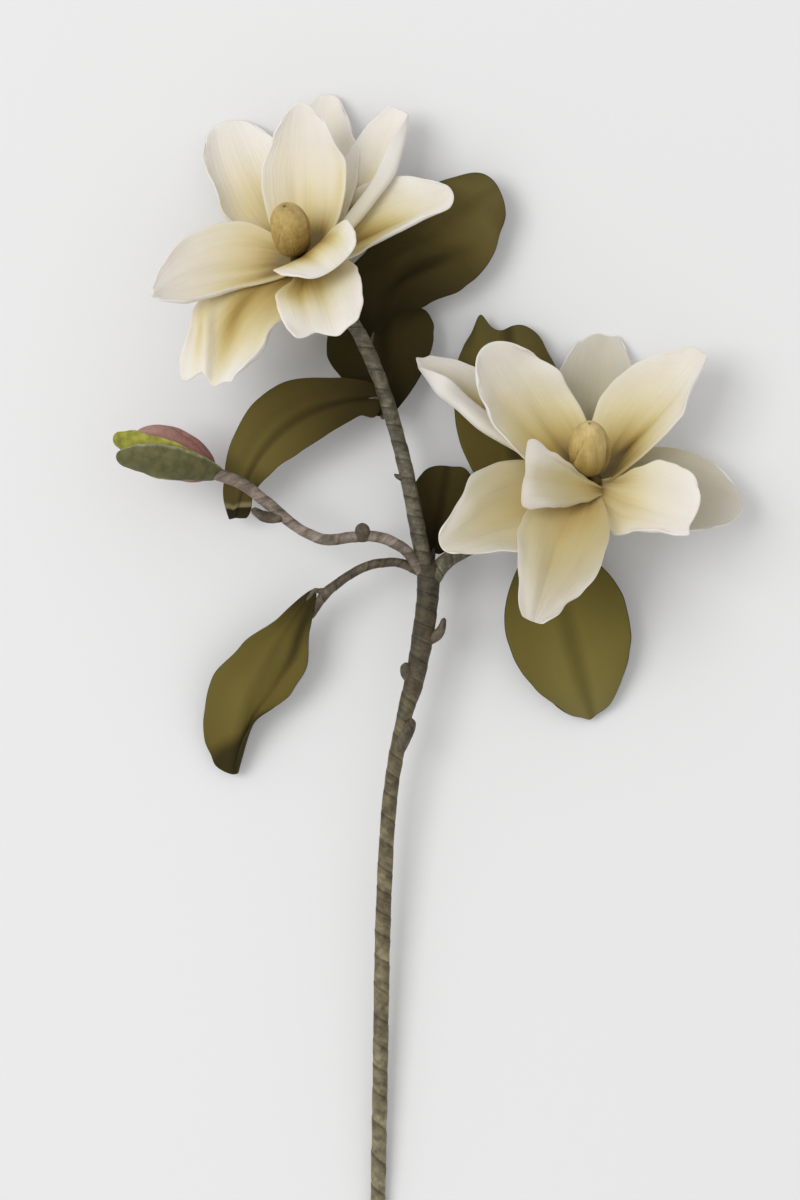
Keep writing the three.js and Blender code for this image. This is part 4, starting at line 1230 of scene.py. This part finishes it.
# %% [markdown]
# ## Wrapped stem
#
# The stem is wrapped in one long strip of bark-coloured tape, so its outline steps at every turn of the
# tape. A smooth tube with painted lines would miss those steps. Here the radius of a tube climbs a little
# along the strip's width and drops at its edge. A UV map named "tape" holds the same turns, so that the
# dark line in the colour falls exactly on the step. First comes the tube itself: a smooth curve through a
# few places, and two directions square to it that don't twist on the way.

# %% A tube through places
def through(places, gap):
    """Points and radii every gap millimetres along a smooth curve through (point, radius) places."""
    points = np.array([p for p, _ in places])
    radii = np.array([r for _, r in places], float)
    ends = np.vstack([2 * points[0] - points[1], points, 2 * points[-1] - points[-2]])
    lengths = np.linalg.norm(np.diff(points, axis=0), axis=1)
    count = max(3, round(lengths.sum() / gap))
    gone = np.linspace(0, lengths.sum(), count + 1)
    v = np.interp(gone, np.r_[0, np.cumsum(lengths)], np.arange(len(points)))
    i = np.minimum(v.astype(int), len(points) - 2)
    t = (v - i)[:, None]
    a, b, c, d = (ends[i + n] for n in range(4))
    curve = 0.5 * (2 * b + (c - a) * t + (2 * a - 5 * b + 4 * c - d) * t**2 + (3 * b - a - 3 * c + d) * t**3)
    return curve, np.interp(v, np.arange(len(points)), radii)


def carried_frames(curve):
    """Two directions square to the curve at each point, carried along it without twisting."""
    direction = unit(np.gradient(curve, axis=0))
    first = np.zeros_like(curve)
    side = squared(at(0, 0, 1), direction[0])
    for n, way in enumerate(direction):
        side = squared(side, way)
        first[n] = side
    return first, np.cross(direction, first)


sample, _ = through([(at(0, 0, 0), 6), (at(0, 60, 20), 6), (at(0, 100, 20), 5)], 10)
print("A curve of about 103 mm with a point every 10 mm has", len(sample), "points")

# %% [markdown]
# On the limbs the strip is wound with turns of 12 to 26 mm, never quite even, and the paper under it
# makes slow lumps. Both are sine waves of the length already gone, so that the same stem comes out each
# time.

# %% Tape wrapped round a tube
TUBE_SIDES = 32
RING_GAP = 1.2
UNEVEN_TURNS = (0.14, 0.05)    # how far the winding strays, in turns, and how fast, in radians a millimetre


def wrapped_tube(places, pitches, ridge, knots=0.25, rounded=False):
    """Rings of points of a tube with a strip of tape wound round it, the turns wound and the length gone.

    pitches is the length of one turn along the tube, in millimetres, at the start and at the end of the tube;
    ridge is how high the tape's edge stands and knots how high the lumps, in millimetres.
    """
    curve, radii = through(places, RING_GAP)
    first, second = carried_frames(curve)
    gone = np.r_[0, np.cumsum(np.linalg.norm(np.diff(curve, axis=0), axis=1))]
    angle = np.arange(TUBE_SIDES) / TUBE_SIDES
    wound = np.cumsum(np.gradient(gone) / np.linspace(*pitches, len(gone)))
    wound = wound + UNEVEN_TURNS[0] * np.sin(gone * UNEVEN_TURNS[1])
    turns = wound[:, None] + angle[None]
    rise = (turns % 1) ** 1.5
    lumps = np.sin(gone * 0.31)[:, None] * np.sin(2 * math.pi * angle + 0.7)
    lumps = lumps + np.sin(gone * 0.13 + 2)[:, None]
    reach = radii[:, None] + ridge * (rise - 0.4) + knots * lumps * 0.5
    if rounded:
        past = np.clip((gone - gone[-1]) / radii[-1] + 1, 0, 0.98)
        reach = reach * np.sqrt(1 - past**2)[:, None]
    circle = 2 * math.pi * angle[:, None]
    ring = first[:, None] * np.cos(circle) + second[:, None] * np.sin(circle)
    rings = curve[:, None] + ring * reach[..., None]
    return rings, turns, gone


def tape_map(mesh, turns, gone):
    """The UV map of the tape: turns wound, and metres gone along the tube."""
    rows, columns = turns.shape
    i, j = np.meshgrid(np.arange(rows - 1), np.arange(columns), indexing="ij")
    step = turns[0, 1] - turns[0, 0]
    first, second = turns[:-1], turns[1:]
    wound = np.stack([first, first + step, second + step, second], axis=-1)
    along = np.stack([gone[i], gone[i], gone[i + 1], gone[i + 1]], axis=-1) * MM
    write_map(mesh, "tape", np.stack([wound, along], axis=-1).reshape(-1, 2))


def limb(name, places, pitches, ridge, material, rounded=False):
    """One limb of the branch, wrapped in tape, with closed ends."""
    rings, turns, gone = wrapped_tube(places, pitches, ridge, rounded=rounded)
    rings[..., 2] = np.maximum(rings[..., 2], 0)
    mesh = grid_mesh(name, rings, closed=True)
    tape_map(mesh, turns, gone)
    return add_piece(name, cap_ends(mesh, rings), "stem", [material])


# %% [markdown]
# ## Tape finish
#
# The tape is slightly satin and olive-brown, with darker and browner patches, and fine fibres run round
# it. It is pale olive-grey low on the stem, and painted shade darkens it on its way up to the fork. A
# thin darker line runs along each overlap. The line comes from the fractional part of the turns in the
# tape map. Line, fibres and painted shade are multiplied onto the colour, because each of them only takes
# light away.

# %% Tape material
TRUNK_LENGTH = 0.54      # metres from the foot to the fork
FIBRES_A_TURN = 6.0
FIBRES_A_METRE = 60.0
EVEN = [(0.0, 0xFFFFFF), (1.0, 0xFFFFFF)]
# Painted shade on the trunk tape, darkest at the fork.
SHADE_TOWARDS_FORK = [(0.0, 0xFFFFFF), (0.5, 0xF4F2EC), (0.72, 0xD6D2C8), (0.86, 0xB0AAA0), (1.0, 0x8A847A)]


def tape_material(name, main, second, reddish, patch, line=0x8C8780, fork_shade=EVEN):
    """Slightly satin tape with a faint darker line at each overlap. The patch size is in metres."""
    material, tree, shader = new_material(name, Roughness=0.55, Specular_IOR_Level=0.4)
    parts = map_parts(tree, "tape")
    turn = calculate(tree, "FRACT", parts["X"])
    overlap = colour_ramp(tree, turn, [
        (0.0, line), (0.04, 0xCFCBC5), (0.1, 0xFFFFFF), (0.6, 0xF8F8F8), (0.95, 0xDEDBD6), (1.0, line),
    ])
    stretched = add_node(tree, "ShaderNodeCombineXYZ", {
        "X": calculate(tree, "MULTIPLY", parts["X"], FIBRES_A_TURN),
        "Y": calculate(tree, "MULTIPLY", parts["Y"], FIBRES_A_METRE),
    })
    sockets = {"Vector": stretched.outputs[0], "Scale": 1.0, "Detail": 6.0}
    fibres = add_node(tree, "ShaderNodeTexNoise", sockets).outputs[0]
    streaked = colour_ramp(tree, fibres, [(0.3, 0xBEBAB4), (0.5, 0xE6E4E0), (0.68, 0xFFFFFF)])
    browner = mottled(tree, screen_colour(main), reddish, patch * 3, 0.7)
    patched = mottled(tree, browner, second, patch, 0.9)
    upwards = calculate(tree, "DIVIDE", parts["Y"], TRUNK_LENGTH)
    colour = patched
    for layer in (overlap, streaked, colour_ramp(tree, upwards, fork_shade)):
        colour = multiplied(tree, colour, layer)
    feed(tree, shader.inputs["Base Color"], colour)
    add_bump(tree, shader, object_noise(tree, 420.0, 4.0), 0.0009)
    return material


TRUNK_TAPE = tape_material("trunk tape", 0xAAA180, 0x554E37, 0x6E5C42, 0.008, 0xA8A396, SHADE_TOWARDS_FORK)
TAPE = tape_material("bark tape", 0x7C705A, 0x423C2E, 0x544233, 0.006)
GREENER_TAPE = tape_material("greener tape", 0x8C8770, 0x464232, 0x5C4F3B, 0.006)
PALE_TAPE = tape_material("paler twig tape", 0xB8AA9F, 0x5B5342, 0x8A7264, 0.012, line=0xC8C4BE)
TAPES = (TRUNK_TAPE, TAPE, GREENER_TAPE, PALE_TAPE)
print("Tape finishes:", ", ".join(finish.name for finish in TAPES))

# %% [markdown]
# ## The limbs
#
# The stem forks once: one branch climbs to the upper bloom and one reaches right to the lower bloom. Two
# twigs leave the fork to the left, the upper one with the bud and the lower one with a leaf. Each limb is
# a list of places on its middle line with the radius there, and starts inside the limb that carries it.

# %% The limbs
TRUNK = [
    (at(-41, -459, 5.6), 6), (at(-39, -347, 14), 6.2), (at(-36.5, -215, 24), 6.3), (at(-31, -117, 32), 6),
    (at(-20, -53, 38), 6.2), (at(-11, -20, 40.5), 8), (at(-4, 18, 43), 8.8), (at(-0.5, 47, 45), 9),
    (at(0.5, 73, 46), 9.2),
]
STALK_SEAT = 8
UPPER_BRANCH = [
    (at(-1, 60, 46), 7.5), (at(-7, 93, 46), 6.5), (at(-19, 153, 46), 6), (at(-32.5, 202, 44), 6),
    (at(-45.5, 238, 43), 6), (at(-61.5, 269, 44), 6), (at(-81, 293, 50), 6),
    (UPPER_BLOOM["centre"] - UPPER_BLOOM["axis"] * STALK_SEAT, 6.5),
]
LOWER_BRANCH = [
    (at(1, 60, 46), 7.5), (at(17.5, 78, 46), 6.5), (at(50, 93, 44), 6), (at(90, 101, 46), 6),
    (at(114, 112, 52), 6.3), (LOWER_BLOOM["centre"] - LOWER_BLOOM["axis"] * STALK_SEAT, 6.5),
]
BUD_TWIG = [
    (at(-2, 64, 46), 5.5), (at(-19, 85, 50), 4.6), (at(-40, 95, 54), 4.4), (at(-61, 95, 55), 4.6),
    (at(-83, 93, 55), 4.4), (at(-105, 102.5, 56), 4.4), (at(-129, 122, 57), 4.8), (at(-149, 137.5, 58), 5),
    (at(-164, 143.5, 59), 4.8), (at(-172, 147, 59), 5.6),
]
LEAF_TWIG = [
    (at(-2, 66, 44), 5), (at(-24.5, 74.5, 44), 3.8), (at(-48.5, 72, 44), 3.6), (at(-69.5, 60.5, 42), 3.8),
    (at(-84.5, 48, 39), 4.2), (at(-91, 37, 35), 3), (at(-94, 30, 33), 1.4),
]
limb("trunk", TRUNK, (26, 13), 0.4, TRUNK_TAPE)
limb("upper_branch", UPPER_BRANCH, (13, 19), 0.35, GREENER_TAPE)
limb("lower_branch", LOWER_BRANCH, (14, 18), 0.35, GREENER_TAPE)
limb("bud_twig", BUD_TWIG, (13, 17), 0.22, PALE_TAPE)
limb("leaf_twig_wood", LEAF_TWIG, (12, 15), 0.3, TAPE)
print("Limbs: trunk, two branches, two twigs")

# %% [markdown]
# ## Snags and scars
#
# Where old twigs broke off, short stubs stand out under the tape. Each is a short tube that narrows to a
# rounded end, rooted well inside its limb.

# %% Snags
SNAGS = {
    "snag_right": [(at(1, 13, 43), 5), (at(7, 16.5, 45), 4.8), (at(10.5, 21, 46), 3.6), (at(13, 30, 47), 2)],
    "snag_left": [(at(-10, -20, 40), 6), (at(-17, -15, 42), 5.4), (at(-18, -6, 43), 4.4)],
    "snag_low": [
        (at(-25, -78, 36), 5.5), (at(-20.5, -68, 38), 6.4),
        (at(-15.5, -59, 40), 5.4), (at(-13.5, -51, 41), 3.8),
    ],
    "knob": [(at(-53, 93, 54), 5), (at(-53, 99, 57), 6.4), (at(-53.5, 106, 60), 5)],
    "leaf_scar": [
        (at(-116, 111, 57), 3.4), (at(-125, 110.5, 58), 4.8),
        (at(-133, 112, 59), 4.6), (at(-142, 117.5, 60), 2.8),
    ],
    "thorn": [(at(-20, 143, 47), 3.6), (at(-25, 144, 49), 1.8), (at(-27.5, 146, 50), 0.9)],
}
for name, places in SNAGS.items():
    limb(name, places, (30, 30), 0.2, TAPE, rounded=True)
print("Snags:", ", ".join(SNAGS))

# %% [markdown]
# ## Leaves
#
# The leaves are printed cloth. They are matte and olive, with a crease along the middle, and their backs
# are a darker brown. Their colour is made as the petals' is: a ramp from foot to tip, on the fronts darker at
# the foot as painted shade near the stem, moved by strokes of painted shade, with soft patches and a darker
# line along the crease, which is painted shade too.

# %% Leaf material
def leaf_material(name, stops, second, crease_shade):
    """Matte printed cloth, with a tint from foot to tip and painted shade along a soft wide crease."""
    material, tree, shader = new_material(name, Roughness=0.7, Specular_IOR_Level=0.12)
    place = use_group(tree, BLADE_PLACE)
    tint = colour_ramp(tree, less_the_dye_and_shade(tree, place.outputs["Along"]), stops)
    patched = mottled(tree, tint, second, 0.05, 0.25)
    # The darker line along the crease is painted shade.
    crease_shade_ramp = [(0.0, crease_shade), (0.04, crease_shade), (0.22, 0xFFFFFF), (1.0, 0xF2F2F2)]
    with_crease_shade = multiplied(tree, patched, colour_ramp(tree, place.outputs["Edge"], crease_shade_ramp))
    feed(tree, shader.inputs["Base Color"], with_crease_shade)
    threads = use_group(tree, WEAVE)
    add_bump(tree, shader, threads.outputs["Height"], 0.0002)
    return material


# %% [markdown]
# Each leaf hangs in other light and was dyed by hand, so they differ, and their tones paint that light and
# shade as well. The leaf behind the upper branch and the small one at the fork are deep olive, which is
# painted shade, and the one in front below the lower bloom is the lightest. On two leaves the photograph
# shows the tip turned over, brown side up. A fold that sharp would need far more rows than the rest of the
# leaf, so here the tip only bends and the fold is made by colour: a pale line, a painted highlight on the
# fold's edge, and then brown, the back in painted shade, at the end of one ramp, and a broad stroke of dark
# dye on the other leaf.

# %% The seven leaf finishes
# The deep olive of this finish is painted shade.
LEAF_DEEP_SHADED = leaf_material(
    "deep olive leaf in painted shade",
    [(0.0, 0x2A2210), (0.5, 0x443A1B), (1.0, 0x544A24)],
    second=0x40371A, crease_shade=0xD0D0D0,
)
LEAF_RISING = leaf_material(
    "leaf in painted shade at the foot",
    [(0.0, 0x2A2210), (0.35, 0x41371A), (0.62, 0x5C5028), (0.88, 0x847642), (1.0, 0x7A6D40)],
    second=0x4C421F, crease_shade=0xF2F2F2,
)
LEAF_OLIVE = leaf_material(
    "olive leaf",
    [(0.0, 0x4E431E), (0.3, 0x7C6D34), (0.75, 0x84763C), (1.0, 0x6E6337)],
    second=0x685C2E, crease_shade=0xC4C4C4,
)
LEAF_TURNED = leaf_material(
    "olive leaf with a turned tip",
    [(0.0, 0x3E3518), (0.08, 0x4C421F), (0.25, 0x7C6D34), (0.75, 0x877A3F), (1.0, 0x807239)],
    second=0x6E6230, crease_shade=0xE6E6E6,
)
# The pale stops are a painted highlight on the fold's edge, and the brown after them is the back in painted
# shade.
LEAF_PAINTED_FOLD = leaf_material(
    "golden olive leaf with a painted fold at the tip",
    [
        (0.0, 0x352C13), (0.2, 0x4A3F1D), (0.4, 0x6A5C2C), (0.7, 0x8A7A42), (0.9, 0x6A5E33),
        (0.915, 0xA89B70), (0.926, 0xA89B70), (0.934, 0x2C2212), (1.0, 0x3A2E1C),
    ],
    second=0x6B5E30, crease_shade=0xC8C8C8,
)
LEAF_LIGHT = leaf_material(
    "light olive leaf",
    [(0.0, 0x6B5E2A), (0.5, 0x8B7D3E), (0.8, 0x948748), (1.0, 0x9C9059)],
    second=0x7C7039, crease_shade=0xDCDCDC,
)
LEAF_BACK = leaf_material(
    "brown leaf back",
    [(0.0, 0x4A4124), (1.0, 0x3E351A)],
    second=0x3A331A, crease_shade=0xFFFFFF,
)
LEAF_FINISHES = (LEAF_DEEP_SHADED, LEAF_RISING, LEAF_OLIVE, LEAF_TURNED, LEAF_PAINTED_FOLD, LEAF_LIGHT, LEAF_BACK)
print("Leaf finishes:", ", ".join(finish.name for finish in LEAF_FINISHES))

# %% [markdown]
# A leaf is the same kind of blade as a petal, narrow at its foot and creased by keel, and more rows keep
# its long outline smooth. Its stalk is a thin wrapped tube that starts inside a limb and ends under the
# blade, so that it looks as firmly held from behind as from the front.

# %% A leaf on its stalk
LEAF_THICKNESS = 1.4
LEAF_LIKE = dict(rows=44, foot_share=0.12, waves=2, wave_count=1.6, ragged=0.3)
STALK_RADII = (2.4, 2.2, 2, 1.4)


def leaf(name, stalk, foot_at, tip, front=LEAF_OLIVE, **shape):
    """A creased blade on a short stalk."""
    shape = {**LEAF_LIKE, **shape}
    grid = blade_grid(foot_at, tip, at(0, 0, 1), **shape)
    blade_piece(name + "_blade", grid, LEAF_THICKNESS, name, front, LEAF_BACK, dye_and_shade_depth(shape))
    inwards = grid[len(grid) // 12, grid.shape[1] // 2] - at(0, 0, 1)
    places = list(zip((stalk, stalk * 0.4 + foot_at * 0.6, foot_at, inwards), STALK_RADII))
    rings, turns, gone = wrapped_tube(places, (9, 9), 0.1, knots=0)
    mesh = grid_mesh(name + "_stalk", rings, closed=True)
    tape_map(mesh, turns, gone)
    add_piece(name + "_stalk", cap_ends(mesh, rings), name, [TAPE])


def add_leaves(leaves):
    """Makes the leaves of one table, and says which they are."""
    for name, shape in leaves.items():
        leaf(name, **shape)
    print("Leaves:", ", ".join(leaves))


# %% [markdown]
# ## The leaves under the upper bloom
#
# One rises to the right with a wave through its middle, one stands behind the branch, and one bows far
# out to the left and turns its tip over. The left one's outline is lopsided, so each of its sides gets
# widths of its own.

# %% Upper leaves
UPPER_LEAVES = {
    "leaf_upper_right": dict(
        front=LEAF_RISING, stalk=at(-46, 238, 43), foot_at=at(-47, 252, 39), tip=at(56.7, 380.4, 26),
        width=84, widest=0.62, end=0.62, belly=8, sway=-16, cup=10, keel=-3, blunt=0.6,
        left_widths=((0, 1), (0.1, 1.45), (0.2, 1.42), (0.4, 0.95), (0.55, 0.82), (1, 0.8)),
        right_widths=((0, 0.1), (0.1, 0.3), (0.3, 0.92), (0.5, 1.14), (0.8, 1.18), (1, 1.1)),
        dents=(
            (0.46, 0.19, 0.16, 0.1, -6, 1.6), (0.5, -0.12, 0.2, 0.16, 4, 2),
            (0.75, 0.4, 0.2, 0.3, 3, 0),
        ),
        dye=((0.45, 0.19, 0.14, 0.09, 0.25, 1.6), (0.66, -0.1, 0.2, 0.3, -0.1, 1.5)),
    ),
    "leaf_upper_back": dict(
        front=LEAF_DEEP_SHADED, stalk=at(-30, 193, 44), foot_at=at(-37, 193, 33), tip=at(-36, 286.5, 14),
        width=84, widest=0.8, end=0.85, belly=4, cup=8, keel=6, blunt=0.25,
        left_widths=((0, 1), (0.3, 1.15), (0.5, 1.24), (0.7, 1.12), (1, 1)),
    ),
    "leaf_upper_left": dict(
        front=LEAF_PAINTED_FOLD, stalk=at(-31, 201, 44), foot_at=at(-38, 208, 38), tip=at(-157, 106, 24),
        width=62, widest=0.5, end=0.3, lop=-0.12, belly=-8, sway=32, cup=10, keel=12, blunt=0.05,
        slant=4, hook=(-40, 0.92),
        left_widths=(
            (0, 2.2), (0.1, 0.85), (0.3, 0.78), (0.5, 0.7), (0.7, 0.56), (0.86, 0.42), (1, 0.9),
        ),
        right_widths=(
            (0, 1.9), (0.1, 1.36), (0.2, 1.19), (0.35, 1.28), (0.5, 1.2), (0.65, 1.03), (0.85, 0.86),
            (1, 0.7),
        ),
        dents=((0.35, -0.4, 0.3, 0.2, 2, 0), (0.55, 0.35, 0.3, 0.2, -2, 0)),
    ),
}
add_leaves(UPPER_LEAVES)

# %% [markdown]
# ## The leaves at the lower bloom and at the fork
#
# A broad one stands behind the lower bloom, with a small point on its left shoulder. The lightest one
# hangs down in front. The small one stands up in the fork, behind the branches.

# %% Lower leaves
LOWER_LEAVES = {
    "leaf_lower_back": dict(
        stalk=at(66, 97, 45), foot_at=at(74, 109, 35), tip=at(65.3, 267.8, 10), width=91,
        foot_share=0.2, widest=0.55, end=0.72, belly=6, cup=10, keel=8, blunt=0.5,
        left_widths=((0, 1), (0.6, 1.08), (1, 1.15)),
        right_widths=((0, 1), (0.6, 1.02), (1, 0.84)),
        tips=((-0.6, 15, 0.16), (-0.15, -3, 0.16), (0.45, 2, 0.3)),
    ),
    "leaf_lower_front": dict(
        front=LEAF_LIGHT, stalk=at(88, 101, 46), foot_at=at(94.5, 89, 37), tip=at(134, -50, 8),
        width=104, foot_share=0.3, widest=0.44, end=0.45, belly=6, cup=8, keel=10, blunt=0.7,
        tips=((0.1, 3, 0.2),),
        dents=((0.75, 0.25, 0.2, 0.2, 2.5, 0.3), (0.5, -0.4, 0.3, 0.3, -2, 0)),
    ),
    "leaf_fork": dict(
        front=LEAF_DEEP_SHADED, stalk=at(2, 66, 46), foot_at=at(4, 82, 35), tip=at(15.5, 153.5, 20), width=52,
        foot_share=0.2, widest=0.55, end=0.75, belly=4, cup=8, keel=6, blunt=0.6,
        right_widths=((0, 1), (0.6, 1), (1, 1.2)),
        tips=((0.6, 3, 0.3),),
    ),
}
add_leaves(LOWER_LEAVES)

# %% [markdown]
# ## The leaf on its own twig
#
# It hangs down to the left with one side curled over near the tip. The long leaning stroke of dye is the
# brown of the turned tip.

# %% Leaf on its twig
TWIG_LEAF = {
    "leaf_twig": dict(
        front=LEAF_TURNED, stalk=at(-82, 52, 40), foot_at=at(-92.5, 51.5, 40), tip=at(-160, -98, 10),
        width=75, foot_share=0.18, widest=0.5, end=0.6, belly=-6, sway=10.4, cup=14, keel=-12,
        blunt=0.4,
        left_widths=((0, 0.5), (0.15, 0.66), (0.33, 0.87), (0.5, 0.75), (0.72, 0.34), (1, 0.4)),
        right_widths=((0, 0.35), (0.18, 0.4), (0.4, 0.72), (0.6, 1), (0.9, 1), (1, 0.8)),
        left=(150, 0.3, 0.8), left_span=(0.62, 1.2),
        dents=((0.45, -0.45, 0.3, 0.2, -3, 0), (0.5, 0.5, 0.3, 0.3, -2, 0)),
        dye=(
            (0.4, -0.5, 0.35, 0.16, 0.2, 0.4), (1, 0, 1, 2.2, 1.1, 8),
            (0.6, 0.1, 0.12, 0.12, 0.2, -1.5),
        ),
    ),
}
add_leaves(TWIG_LEAF)

# %% [markdown]
# ## Bracts of the bud
#
# Two bracts lie over the pink bud: a bright lime one and a sage one over it. They are blades too, bowed
# over the egg, with the same material on both sides. Their tint changes from the middle to the edges,
# which are paler, and their patches are small and strong, as in the photograph.

# %% Bract materials
def bract_material(name, stops, second, amount):
    """A bract's finish, with a tint that changes from its middle to its edges."""
    material, tree, shader = new_material(name, Roughness=0.68, Specular_IOR_Level=0.25)
    place = use_group(tree, BLADE_PLACE)
    lines = use_group(tree, STREAKS, Count=24.0, Waver=2.4)
    tint = colour_ramp(tree, place.outputs["Edge"], stops)
    feed(tree, shader.inputs["Base Color"], mottled(tree, tint, second, 0.007, amount))
    add_bump(tree, shader, lines.outputs["Mask"], 0.0005)
    return material


LIME_TINTS = [(0.0, 0x9A9838), (0.8, 0xA6A33E), (1.0, 0xB4B260)]
SAGE_TINTS = [(0.0, 0x625F39), (0.8, 0x6A6742), (0.93, 0xA3A07E), (1.0, 0xB4B194)]
LIME = bract_material("lime bract", LIME_TINTS, 0x6F6F2C, 0.9)
SAGE = bract_material("sage bract", SAGE_TINTS, 0x46452A, 0.8)
print("Bract finishes:", ", ".join(finish.name for finish in (LIME, SAGE)))

# %% [markdown]
# A bract needs its foot, its tip and the direction of its hollow side, which is towards the egg. The bow
# along its length is what lays it over the egg: with less of it, the bract would pass through the bud.

# %% The two bracts
BRACT_THICKNESS = 1.8


def bract(name, foot_at, tip, inwards, node, slot, material, **shape):
    """One bract, its hollow side towards the bud."""
    grid = blade_grid(foot_at, tip, inwards, **shape)
    blade_piece(name, grid, BRACT_THICKNESS, node, material, material)


bract(
    "lime_bract", at(-168, 146, 60), at(-253, 174, 63), at(0, 0.28, -0.96),
    "bud_bract_inner", "bract_lime", LIME,
    width=25, foot_share=0.4, widest=0.6, end=0.6, ragged=0.4, belly=19, sway=-5.5, cup=34, blunt=0.8,
)
bract(
    "sage_bract", at(-168, 144, 60), at(-250, 157.5, 66), at(0, 0.48, -0.87),
    "bud_bract_outer", "bract_sage", SAGE,
    width=33, foot_share=0.4, widest=0.55, end=0.45, ragged=0.4, belly=17, sway=-10.5, cup=38, blunt=0.6,
)
print("Bracts:", BRACT_THICKNESS, "mm thick")
